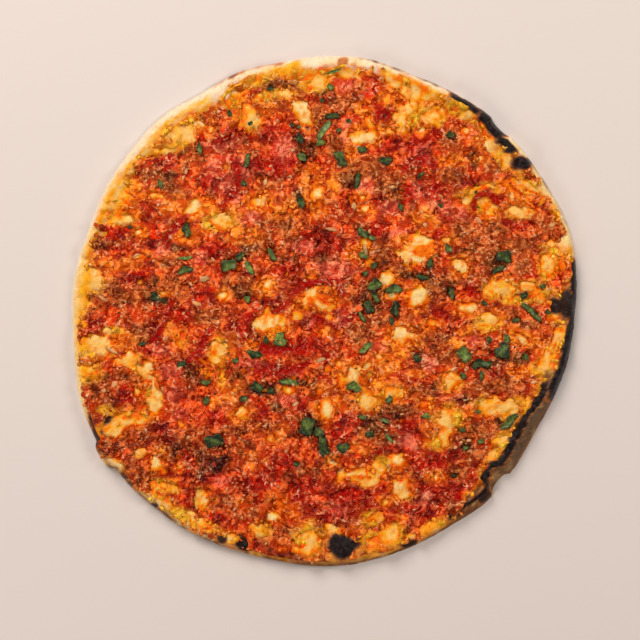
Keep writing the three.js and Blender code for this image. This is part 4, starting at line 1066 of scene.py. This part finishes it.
def dough_colours(ground):
    """The dough's tint, how burnt it is and how oily, at each point."""
    colours = palette()
    x, y = ground.x, ground.y
    inner = smooth(4, 10, ground.inset)
    inward = ground.inset + 2.2 * rough(x, y, 11, 36) + 0.8 * rough(x, y, 4, 37)
    blotches = 0.45 * rough(x, y, 6, 31) + 0.3 * rough(x, y, 2.6, 34)
    soaked = 0.14 + 0.5 * rough(x, y, 9, 38) - 0.2 * x / 150
    inside = ground.gap - 0.4 * ground.orange - 0.6 * ground.core
    inside = np.where(ground.oil > 0.4, np.maximum(inside, soaked), inside)
    near_topping = ground.from_topping + 1.8 * rough(x, y, 5, 32)
    outside = 0.8 - 0.5 * smooth(3, 9, inward) - 0.5 * smooth(-5, 0.5, near_topping)
    paleness = mix(outside, inside, inner) + blotches  # orange below 0, then yellow, cream above 0.5
    streak = smooth(0.84, 1.0, 1 - np.abs(rough(x, y, 9, 33))) * inner
    tint = filled(colours["orange"], len(x))
    tint = paint(tint, colours["red_zone"], 0.5 * inner * smooth(-0.1, -0.5, paleness))
    tint = paint(tint, colours["yellow"], smooth(-0.1, 0.25, paleness) * (1 - 0.6 * streak))
    creamy = smooth(0.18, 0.52, paleness) * (1 - 0.85 * streak) * (1 - 0.5 * ground.oil * inner)
    tint = paint(tint, colours["cream"], creamy)
    tint = paint(tint, colours["pale"], 0.9 * smooth(3.2, 1.2, inward) * smooth(-75, -40, y))
    burnt = np.zeros(len(x))
    for tone, share in rim_tones(ground):
        if tone == "char":
            tint = paint(tint, colours["toast"], smooth(0.0, 0.25, share))
            tint = paint(tint, colours["brown"], smooth(0.1, 0.5, share))
            burnt = np.maximum(burnt, smooth(0.25, 0.8, share))
        else:
            patchy = np.clip(share * (0.8 + 0.7 * rough(x, y, 5, 40)), 0, 1)
            tint = paint(tint, colours[tone], patchy)
    for *spot, depth in SCORCHES:
        share = share_of(x, y, spot) * (1 + 0.45 * rough(x, y, 5, 35))
        tint = paint(tint, colours["toast"], 1 - smooth(1.0, 1.5, share))
        tint = paint(tint, colours["brown"], depth * (1 - smooth(0.8, 1.3, share)))
        burnt = np.maximum(burnt, depth * (1 - smooth(0.8, 1.1, share)))
    oily = smooth(0.5, 0.1, paleness) * inner
    return tint, burnt, oily


def frayed_radius(angle):
    """The bread's radius with the fine unevenness of its crust."""
    return edge_radius(angle) + 0.35 * rough(150 * np.cos(angle), 150 * np.sin(angle), 5, 41)


def bake_dough():
    """The dough: its rim, blisters and char."""
    sizes = bpy.context.scene.lahmacun_sizes
    colours = palette()
    steps = [*(share for share, _ in SIDE), *UNDERSIDE]
    dough = round_slab("baked_dough", sizes.dough_cells, frayed_radius, steps)
    x, y, level = plan_of(dough)
    ground = Ground(x, y)
    tint, burnt, oily = dough_colours(ground)
    on_rim = 1 - smooth(8, 16, ground.inset)
    creases = 0.28 * rough(x, y, 7, 42) * on_rim + 0.16 * rough(x, y, 3, 43)
    crust = grains(x + rough(x, y, 4, 44), y + rough(x, y, 4, 45), 4.2, 46)[0]
    relief = creases + burnt * (0.55 * crust - 0.2) + 0.35 * rough(x, y, 4, 47) * (ground.gap > -0.2)
    top = ground.dough + relief * smooth(-0.2, 2.5, ground.inset)
    side = np.array([0, *(height for _, height in SIDE), *(0 * UNDERSIDE)])[level]
    under = side + (level > len(SIDE)) * 0.12 * (1 + rough(x, y, 14, 48))
    set_points(dough, np.column_stack([x, y, np.where(level == 0, top, under)]))
    floury = paint(filled(colours["pale"], len(x)), colours["brown"], 0.25 + 0.2 * rough(x, y, 20, 49))
    below = level >= len(SIDE)
    set_attribute(dough, "tint", np.where(below[:, None], floury, tint))
    set_attribute(dough, "burnt", np.where(below, 0, burnt))
    set_attribute(dough, "oily", np.where(level > 0, 0, oily))
    to_place(dough)
    finish_piece(dough, dough_material(), "baked_dough", "dough")


# ---- The spread ----


class Spread:
    """What the topping is like at plan points: its zones, how oily it is, its clumps and the seams between
    them, its runs of sauce, its tint and the tint of its hollows."""

    def __init__(self, ground):
        x, y = ground.x, ground.y
        self.zones = {tone: cover_of(x, y, spots) for tone, spots in ZONES.items()}
        near_gap = smooth(4.5, 0.5, ground.away + 2.6 * rough(x, y, 9, 83))
        near_rim = 1 - smooth(0.5, 6, ground.from_topping + 3 * rough(x, y, 10, 60))
        near_rim = near_rim * (1 - 0.7 * ground.low_side)
        oily_zone = np.maximum(self.zones["amber"], 0.7 * self.zones["orange"])
        self.oiled = np.maximum(oily_zone, np.maximum(0.7 * near_gap, 0.8 * near_rim))
        veins = smooth(0.9, 1.0, 1 - np.abs(rough(x, y, 15, 54))) * smooth(0, 12, ground.from_topping)
        veins = 0.7 * veins * (1 - self.zones["brown"]) * (1 - self.zones["amber"])
        self.run = np.maximum(veins, ground.run)
        warp_x, warp_y = x + 1.8 * rough(x, y, 6, 57), y + 1.8 * rough(x, y, 6, 58)
        self.clump, own = grains(warp_x, warp_y, 5.2, 59)
        self.seam = smooth(0.5, 0.1, self.clump)
        shade = mix(mix(0.66, 0.83, self.oiled), mix(1.36, 1.14, self.oiled), own)
        self.tint = shaded(self.zone_tints(ground, near_gap, near_rim), shade)
        # Painted shade: a darker, deeper copy of the tint for hollows and seams, less dark where oily.
        deeper = np.clip(self.tint, 0, 1) ** mix(1.7, 1.25, self.oiled)[:, None]
        self.hollow_shade = shaded(deeper, mix(0.6, 0.92, self.oiled))

    def zone_tints(self, ground, near_gap, near_rim):
        """The tints of the zones, over sauced mince, and of the oil beside gaps and the rim."""
        x, y = ground.x, ground.y
        colours = palette()
        tint = filled(colours["sauced"], len(x))
        tint = paint(tint, colours["red_zone"], 0.5 * smooth(0.1, 0.9, rough(x, y, 15, 51)))
        tint = paint(tint, colours["brown_zone"], 0.6 * smooth(0.1, 0.9, rough(x, y, 17, 52)))
        for tone, cover in self.zones.items():
            tint = paint(tint, colours[tone + "_zone"], ZONE_STRENGTH[tone] * cover)
        halo = paint(filled(colours["orange_zone"], len(x)), colours["amber_zone"], self.zones["amber"])
        tint = paint(tint, halo, 0.6 * near_gap * (1 - ground.run))
        low = ground.low_side * (1 - self.zones["amber"])
        tint = shaded(paint(tint, colours["red_zone"], 0.26 * low), 1 - 0.06 * low)
        tint = paint(tint, colours["amber_zone"], 0.7 * near_rim * (1 - self.zones["brown"]))
        sunken = np.maximum(self.zones["red"], np.maximum(0.5 * self.zones["brown"], self.zones["dusk"]))
        return shaded(tint, 1.065 - 0.11 * sunken + 0.09 * self.oiled)


def sheet_radius(angle):
    """The radius of the spread's mesh, which ends under the rim's inner flank."""
    return edge_radius(angle) - SHEET_INSET


def spread_topping():
    """The sauce and fine mince that hold the crumbs together."""
    sizes = bpy.context.scene.lahmacun_sizes
    steps = [0.998, 0.75, 0.5, 0.25, 0.05]
    sheet = round_slab("sauce_and_fine_mince", sizes.topping_cells, sheet_radius, steps)
    x, y, level = plan_of(sheet)
    ground = Ground(x, y)
    spread = Spread(ground)
    dome, own = grains(x + 0.5 * rough(x, y, 3, 61), y + 0.5 * rough(x, y, 3, 62), 2.5, 63)
    wet = np.maximum(spread.zones["red"], spread.zones["rose"])
    lift = -SHEET_DEPTH + (0.5 + 0.4 * wet) * dome * (1 - 0.8 * spread.run) + CLUMP_HEIGHT * spread.clump
    lift = lift - 0.4 * spread.run - SHEET_PRESSED * under_parsley(x, y)
    top = mix(ground.dough + BURIED, ground.topping + lift + 0.3 * rough(x, y, 5, 64), ground.cover)
    set_points(sheet, np.column_stack([x, y, np.where(level == 0, top, SHEET_FLOOR)]))
    # Painted shade: the low parts of the grains and the seams between clumps take the darker tint.
    shown = smooth(0.1, 0.9, dome * 0.6 + 0.4 * spread.clump) * (1 - 0.6 * spread.seam)
    tint = paint(spread.hollow_shade, spread.tint, 0.2 + 0.75 * shown)
    tint = shaded(tint, 0.85 + 0.2 * own)
    pooled = np.clip(spread.run * (1.05 + 0.35 * rough(x, y, 5, 65)), 0, 1)
    tint = paint(tint, palette()["pooled"], 0.97 * pooled)
    set_attribute(sheet, "tint", shaded(tint, 1 + 0.25 * pooled * lumps(x, y, 2.6, 66)))
    set_attribute(sheet, "sauce", np.maximum(0.8 * pooled, 0.55 * ground.oil))
    to_place(sheet)
    material = moist_material("sauce_and_fine_mince", 0.16, 4.6, 3.8, 0.8)
    finish_piece(sheet, material, "mince", "meat_topping")


# ---- Crumbs, modelled once and strewn ----


def model_crumb(length, width, height, bend, seed, segments=5, rings=4):
    """One knobbly crumb, as its points and triangles: a ball roughened, pulled long and bent."""
    deselect()
    bpy.ops.mesh.primitive_uv_sphere_add(segments=segments, ring_count=rings, radius=0.5)
    crumb = bpy.context.object
    bpy.ops.object.mode_set(mode="EDIT")
    bpy.ops.mesh.select_all(action="SELECT")
    bpy.ops.transform.rotate(value=math.pi / 2, orient_axis="Y", center_override=(0, 0, 0))
    bpy.ops.transform.vertex_random(offset=0.11, uniform=0.0, normal=1.0, seed=seed)
    bpy.ops.transform.resize(value=(length, width, height), center_override=(0, 0, 0))
    bpy.ops.mesh.quads_convert_to_tris()
    bpy.ops.object.mode_set(mode="OBJECT")
    if bend:
        curl = crumb.modifiers.new("curl", "SIMPLE_DEFORM")
        curl.deform_method = "BEND"
        curl.deform_axis = "Z"
        curl.angle = bend
        bpy.ops.object.modifier_apply(modifier=curl.name)
    return taken(crumb)


def turned(points, spin, tilt, lean):
    """Points turned about X by lean, about Y by tilt and about Z by spin, a set for each angle given."""
    x, y, z = points[..., 0], points[..., 1], points[..., 2]
    cos, sin = np.cos(lean)[:, None], np.sin(lean)[:, None]
    y, z = y * cos - z * sin, y * sin + z * cos
    cos, sin = np.cos(tilt)[:, None], np.sin(tilt)[:, None]
    x, z = x * cos + z * sin, z * cos - x * sin
    cos, sin = np.cos(spin)[:, None], np.sin(spin)[:, None]
    return np.stack([x * cos - y * sin, x * sin + y * cos, z], axis=-1)


def strew(name, kinds, places, sizes, spin, tilt, lean, tints, chance, hollow_shades=None):
    """One mesh of many copies: each place gets a copy of one of the kinds, turned, sized and tinted, and
    darker towards its foot, where it has the tint of the hollows."""
    hollow_shades = 0.7 * tints if hollow_shades is None else hollow_shades
    which = chance.integers(0, len(kinds), len(places))
    parts = []
    for number, (points, faces) in enumerate(kinds):
        mine = which == number
        at = places[mine][:, None, :]
        scaled = points * sizes[mine][:, None, :]
        moved = turned(scaled, spin[mine], tilt[mine], lean[mine]) + at
        firsts = np.arange(len(at))[:, None, None] * len(points)
        up = moved[..., 2] - at[..., 2]
        up = (up / np.abs(up).max(axis=1, keepdims=True))[..., None]
        # Painted light and shade: darker at the foot, in the shaded tint, and lighter at the top.
        shown = smooth(-0.5, 0.55, up)
        tinted = mix(hollow_shades[mine][:, None, :], tints[mine][:, None, :], shown) * (1 + 0.15 * up)
        parts.append([values.reshape(-1, 3) for values in (moved, faces + firsts, tinted)])
    return mesh_piece(name, parts)


def mesh_piece(name, parts):
    """One smooth mesh object from parts, each its plan points, its triangles and a tint for each point."""
    counts = [len(points) for points, _, _ in parts]
    starts = np.cumsum([0, *counts[:-1]])
    points = np.concatenate([points for points, _, _ in parts])
    faces = np.concatenate([faces + start for (_, faces, _), start in zip(parts, starts)])
    tints = np.concatenate([tints for _, _, tints in parts])
    mesh = bpy.data.meshes.new(name)
    mesh.vertices.add(len(points))
    mesh.loops.add(faces.size)
    mesh.polygons.add(len(faces))
    mesh.loops.foreach_set("vertex_index", faces.ravel())
    mesh.polygons.foreach_set("loop_start", np.arange(len(faces)) * 3)
    mesh.vertices.foreach_set("co", np.ravel(points))
    mesh.polygons.foreach_set("use_smooth", np.ones(len(faces), bool))
    mesh.update(calc_edges=True)
    mesh.validate()
    piece = bpy.data.objects.new(name, mesh)
    bpy.context.collection.objects.link(piece)
    set_attribute(piece, "tint", tints)
    to_place(piece)
    return piece


def under_parsley(x, y):
    """How fully points lie under a leaf of parsley, where crumbs are pressed down."""
    share = np.zeros(np.shape(x))
    for at_x, at_y, length, width, turn, *_ in PARSLEY + SHREDS:
        spot = (at_x, at_y, length / 2 + 0.5, width / 2 + 0.5, turn)
        share = np.maximum(share, 1 - smooth(0.9, 1.3, share_of(x, y, spot)))
    return share


def shaken_places(spacing, chance):
    """Places on a shaken honeycomb over the bread."""
    count = int(2 * BREAD_REACH / spacing)
    steps = np.arange(-count // 2, count // 2)
    column, row = np.meshgrid(steps, steps)
    x = (column + 0.5 * (row % 2)).ravel() * spacing
    y = row.ravel() * spacing * math.sqrt(0.75)
    x = x + spacing * chance.uniform(-0.42, 0.42, x.shape)
    y = y + spacing * chance.uniform(-0.42, 0.42, y.shape)
    near = np.hypot(x, y) < BREAD_REACH
    return x[near], y[near]


def crumb_places(chance):
    """Places of crumbs: on the topping, closest on its clumps and in dry zones, and spilt past its edge."""
    x, y = shaken_places(CRUMB_SPACING, chance)
    ground = Ground(x, y)
    spread = Spread(ground)
    wet = np.maximum(spread.zones["red"], spread.zones["rose"])
    packed = 0.32 - 0.2 * spread.oiled - 0.3 * wet + 0.45 * smooth(0.1, 0.5, spread.clump)
    packed = packed - 0.9 * spread.run - 0.5 * ground.oil
    past_edge = smooth(-5, 0, ground.from_topping + 2.5 * rough(x, y, 7, 91))
    lower_left = smooth(-50, -90, y) * smooth(30, -30, x)
    spilt = 0.38 * past_edge * smooth(0.8, 0.1, ground.gap) * (1 + 1.2 * lower_left)
    _, burnt, _ = dough_colours(ground)
    room = (ground.cover + spilt) * (1 - burnt) * smooth(1.6, 3.6, ground.inset)
    kept = room > 0.3 + 0.4 * chance.random(len(x))
    kept = kept & (chance.random(len(x)) < packed)
    return x[kept], y[kept]


def strew_mince():
    """Crumbs of mince and bits of tomato, in a piece for each way they are cooked."""
    sizes = bpy.context.scene.lahmacun_sizes
    colours = palette()
    chance = np.random.default_rng(SEED)
    x, y = crumb_places(chance)
    ground = Ground(x, y)
    spread = Spread(ground)
    zones = spread.zones
    worms = [model_crumb(1.3, 0.68, 0.6, bend, seed) for bend, seed in ((0.9, 1), (-0.7, 2), (1.4, 3))]
    nubs = [model_crumb(0.98, 0.82, 0.7, 0, seed) for seed in (4, 5, 6, 7)]
    flakes = [model_crumb(1.25, 0.95, 0.5, 0.4, seed) for seed in (8, 9, 10)]
    # Each piece's name, its crumbs, its material's settings, and how much each place is of its kind.
    kinds = [
        ("mince_browned", worms + nubs, (0.3, 3.4, 2.5), np.maximum(zones["brown"], zones["dusk"])),
        ("mince_sauced", worms + nubs, (0.22, 4.0, 3.0), np.full(len(x), 0.42)),
        ("tomato_pulp", flakes + nubs[:1], (0.16, 5.0, 3.4, 0.75), np.maximum(zones["red"], zones["rose"])),
        ("mince_oily", worms + nubs, (0.2, 4.2, 2.7, 0.9), np.maximum(zones["orange"], zones["amber"])),
        ("mince_soft", nubs + flakes, (0.24, 3.8, 2.9), 0.42 + 0.25 * rough(x, y, 12, 71)),
    ]
    weights = np.column_stack([weight for *_, weight in kinds])
    which = np.argmax(weights + 0.2 * chance.standard_normal(weights.shape), 1)
    # Painted shade: crumbs in the seams between clumps take some of the darker tint.
    tints = paint(spread.tint, spread.hollow_shade, 0.6 * spread.seam * (1 - 0.6 * spread.oiled))
    thin = np.sqrt(ground.cover)
    on_topping = ground.topping - CRUMB_DEPTH + CLUMP_HEIGHT * spread.clump
    bed = mix(ground.dough + ON_DOUGH, on_topping, thin)
    sunk = CRUMB_PRESSED * under_parsley(x, y) + 0.4 * spread.oiled
    for number, (name, crumbs, settings, _) in enumerate(kinds):
        mine = np.flatnonzero(which == number)
        count = len(mine)
        size = sizes.crumb_size * chance.uniform(0.72, 1.2, count) * mix(0.75, 1.0, thin[mine])
        stretch = chance.uniform(0.85, 1.15, (count, 3)) * size[:, None]
        z = bed[mine] + 0.25 * chance.standard_normal(count) - sunk[mine]
        places = np.column_stack([x[mine], y[mine], z])
        tint = tints[mine]
        tint = paint(tint, colours["pale_meat"], 0.3 * (chance.random(count) > 0.88))
        tint = paint(tint, colours["red_zone"], 0.3 * (chance.random(count) > 0.88))
        tint = tint * chance.uniform(0.91, 1.11, (count, 1))
        spin = chance.uniform(0, TURN, count)
        tilt, lean = chance.normal(0, 0.3, (2, count))
        piece = strew(name, crumbs, places, stretch, spin, tilt, lean, tint, chance, spread.hollow_shade[mine])
        finish_piece(piece, moist_material(name, *settings), "mince")


# ---- Parsley, onion and flecks ----


def model_leaf(bluntness, lobes, seed, along=10, across=6):
    """A torn leaf of unit length and width, as points and triangles, with its upper face's points first."""
    deselect()
    bpy.ops.mesh.primitive_grid_add(x_subdivisions=along, y_subdivisions=across, size=2)
    leaf = bpy.context.object
    points = points_of(leaf)
    s, t = points[:, 0], points[:, 1]
    wave = 1 + lobes * np.sin(5 * s + seed) * np.sign(t) + 0.5 * lobes * np.sin(11 * s + 2 * seed)
    half = np.maximum(0.2, 1 - np.abs(s) ** bluntness) * wave
    bow = 0.10 * np.sin(2.2 * s + seed)
    fold = 0.12 * np.abs(t) + 0.05 * np.sin(4 * s + 3 * t + seed)
    set_points(leaf, np.column_stack([s / 2, t * half / 2 + bow, fold]))
    thick = leaf.modifiers.new("thickness", "SOLIDIFY")
    thick.thickness = 0.001  # the two faces are parted when the leaf is laid
    bpy.ops.object.modifier_apply(modifier=thick.name)
    bpy.ops.object.mode_set(mode="EDIT")
    bpy.ops.mesh.select_all(action="SELECT")
    bpy.ops.mesh.quads_convert_to_tris()
    bpy.ops.object.mode_set(mode="OBJECT")
    return taken(leaf)


def laid_leaf(template, row, curl, seed):
    """A leaf laid on the topping: its plan points, its triangles and their tints."""
    sizes = bpy.context.scene.lahmacun_sizes
    colours = palette()
    at_x, at_y, length, width, turn = row[:5]
    points, faces = template
    cos, sin = math.cos(radians(turn)), math.sin(radians(turn))
    along, across = points[:, 0] * length, points[:, 1] * width
    x = at_x + along * cos - across * sin
    y = at_y + along * sin + across * cos
    ground = Ground(x, y)
    in_gap = np.maximum(ground.dough + ON_DOUGH, ground.topping - 1.2)
    bed = np.where(ground.cover > 0.5, ground.topping - IN_TOPPING, in_gap)
    bed = mix(bed, np.mean(bed), 0.45)
    lower = (np.arange(len(points)) >= len(points) // 2) * sizes.leaf_thickness
    z = bed + LEAF_LIFT + points[:, 2] * curl * width - lower
    edge = smooth(0.32, 0.5, np.hypot(points[:, 0], points[:, 1]))
    tone = np.clip(row[-1] + 0.35 * lumps(x, y, 3.5, seed) - 0.3 * edge, 0, 1)
    tint = paint(filled(colours["leaf_dark"], len(x)), colours["leaf_light"], tone)
    tint = paint(tint, colours["leaf_blue"], 0.6 * smooth(0.3, 0.9, lumps(x, y, 9, seed + 50)) * tone)
    midrib = 1 - smooth(0.03, 0.12, np.abs(points[:, 1]))
    tint = paint(tint, colours["leaf_light"] * 1.1, 0.35 * midrib)
    return np.column_stack([x, y, z]), faces, tint


def lay_parsley():
    """Torn parsley: a piece for each of the larger leaves, and one of all the small shreds."""
    material = leaf_material()
    chance = np.random.default_rng(SEED + 1)
    for number, row in enumerate(PARSLEY, 1):
        bluntness = row[5]
        template = model_leaf(bluntness, 0.22 if bluntness < 5 else 0.06, number)
        laid = laid_leaf(template, row, chance.uniform(0.4, 1.3), number)
        leaf = mesh_piece(f"parsley_leaf_{number:02d}", [laid])
        finish_piece(leaf, material, "parsley", f"parsley_{number:02d}")
    templates = [model_leaf(bluntness, 0.2, bluntness, 6, 4) for bluntness in (2, 3, 4, 6)]
    shreds = []
    for number, row in enumerate(SHREDS):
        template = templates[number % len(templates)]
        shreds.append(laid_leaf(template, row, chance.uniform(0.5, 1.6), number))
    finish_piece(mesh_piece("parsley_shreds", shreds), material, "parsley")


def strew_onion():
    """Softened onion in small dice and strips: what the table lists, and more strewn between."""
    colours = palette()
    chance = np.random.default_rng(SEED + 2)
    dice = [model_crumb(1.0, 1.0, 0.5, 0.3, seed, 8, 6) for seed in (21, 22, 23)]
    x, y = shaken_places(ONION_SPACING, chance)
    more = np.column_stack([
        x, y, chance.uniform(1.6, 3.2, len(x)), chance.uniform(1.3, 2.2, len(x)),
        chance.uniform(0, 180, len(x)), chance.random(len(x)),
    ])
    rows = np.concatenate([ONION, more[Ground(x, y).cover > 0.9]])
    x, y, length, width, turn, clear = rows.T
    count = len(rows)
    ground = Ground(x, y)
    z = np.where(ground.cover > 0.5, ground.topping - IN_TOPPING, ground.dough + ON_DOUGH)
    tint = paint(filled(colours["onion"], count), colours["clear_onion"], clear)
    sauced = np.where(np.arange(count) < len(ONION), 0.06, 0.25) + 0.3 * chance.random(count)
    tint = paint(tint, colours["sauced"], sauced)
    tilt, lean = chance.normal(0, 0.12, (2, count))
    places = np.column_stack([x, y, z])
    sizes = np.column_stack([length, width, np.full(count, ONION_HEIGHT)])
    piece = strew("onion_bits", dice, places, sizes, radians(turn), tilt, lean, tint, chance)
    finish_piece(piece, onion_material(), "mince")


def strew_flecks():
    """Dark flecks of herbs and pepper."""
    colours = palette()
    chance = np.random.default_rng(SEED + 3)
    flecks = [model_crumb(1.3, 0.7, 0.3, 0.5, seed, 6, 4) for seed in (31, 32, 33)]
    x, y = shaken_places(FLECK_SPACING, chance)
    some = chance.random(len(x)) < 0.22
    x, y = x[some], y[some]
    covered = Ground(x, y).cover > 0.6
    x, y = x[covered], y[covered]
    count = len(x)
    places = np.column_stack([x, y, Ground(x, y).topping - 0.15])
    size = np.tile(chance.uniform(0.7, 1.7, (count, 1)), 3)
    tint = paint(filled(colours["herb"], count), colours["pepper"], chance.random(count))
    tilt, lean = chance.normal(0, 0.3, (2, count))
    spin = chance.uniform(0, TURN, count)
    piece = strew("herb_flecks", flecks, places, size, spin, tilt, lean, tint, chance)
    finish_piece(piece, moist_material("herb_flecks", 0.45, 1.5, 0.3, 0.7, 0), "parsley")


# ---- The stage ----


def set_stage():
    """The floor, the soft light and the camera straight above."""
    colours = palette()
    deselect()
    bpy.ops.mesh.primitive_plane_add(size=FLOOR_SIZE, location=(0, 0, -FLOOR_DROP))
    floor = bpy.context.object
    floor.name = "floor"
    finish = Finish("plain_floor", 0.85)
    floor.data.materials.append(finish.done(rgba(colours["floor"])))
    world = bpy.data.worlds.new("soft_room")
    world.use_nodes = True
    background = world.node_tree.nodes["Background"]
    background.inputs["Color"].default_value = rgba(WARM_WHITE)
    background.inputs["Strength"].default_value = ROOM_LIGHT
    bpy.context.scene.world = world
    for place, size, power in LAMPS:
        aim = (-Vector(place)).to_track_quat("-Z", "Y").to_euler()
        bpy.ops.object.light_add(type="AREA", location=place, rotation=aim)
        lamp = bpy.context.object
        lamp.data.size = size
        lamp.data.energy = power
        lamp.data.color = WARM_WHITE
    framed_x, framed_y = FRAMED_MIDDLE
    above = ((framed_x - MIDDLE_X) * MM, (framed_y - MIDDLE_Y) * MM, CAMERA_HEIGHT)
    bpy.ops.object.camera_add(location=above, rotation=(0, 0, 0))
    camera = bpy.context.object
    camera.data.sensor_width = SENSOR
    camera.data.lens = SENSOR * (CAMERA_HEIGHT - FRAMED_HEIGHT) / FRAMED_WIDTH
    camera.data.clip_start = 0.05
    bpy.context.scene.camera = camera
    bpy.context.scene.view_settings.view_transform = "Standard"


# ---- Operators and panel ----


def make_operator(idname, label, action):
    """An operator that makes one piece, or a group of like pieces."""

    def execute(self, context):
        action()
        return {"FINISHED"}

    body = {"__doc__": action.__doc__, "bl_idname": idname, "bl_label": label, "execute": execute}
    return type("LAHMACUN_OT_" + idname.split(".")[1], (bpy.types.Operator,), body)


STEPS = [
    ("lahmacun.set_stage", "Set the stage", set_stage),
    ("lahmacun.bake_dough", "Bake the dough", bake_dough),
    ("lahmacun.spread_topping", "Spread the topping", spread_topping),
    ("lahmacun.strew_mince", "Strew the mince", strew_mince),
    ("lahmacun.strew_onion", "Strew the onion", strew_onion),
    ("lahmacun.strew_flecks", "Strew the flecks", strew_flecks),
    ("lahmacun.lay_parsley", "Lay the parsley", lay_parsley),
]
OPERATORS = [make_operator(*step) for step in STEPS]


class LAHMACUN_PT_panel(bpy.types.Panel):
    """Lists the steps, sizes and colours."""

    bl_label = "Lahmacun"
    bl_idname = "LAHMACUN_PT_panel"
    bl_space_type = "VIEW_3D"
    bl_region_type = "UI"
    bl_category = "Lahmacun"

    def draw(self, context):
        for idname, label, _ in STEPS:
            self.layout.operator(idname, text=label)
        for group in (context.scene.lahmacun_sizes, context.scene.lahmacun_colours):
            for name in type(group).__annotations__:
                self.layout.prop(group, name)


CLASSES = (LahmacunSizes, LahmacunColours, *OPERATORS, LAHMACUN_PT_panel)


def register():
    """Adds the classes and the scene's settings."""
    for cls in CLASSES:
        bpy.utils.register_class(cls)
    bpy.types.Scene.lahmacun_sizes = PointerProperty(type=LahmacunSizes)
    bpy.types.Scene.lahmacun_colours = PointerProperty(type=LahmacunColours)


def unregister():
    """Takes them away again."""
    del bpy.types.Scene.lahmacun_sizes
    del bpy.types.Scene.lahmacun_colours
    for cls in reversed(CLASSES):
        bpy.utils.unregister_class(cls)


def main():
    """Makes the whole scene and writes its size."""
    register()
    for idname, _, _ in STEPS:
        group, name = idname.split(".")
        getattr(getattr(bpy.ops, group), name)()
    deselect()


if __name__ == "__main__":
    main()
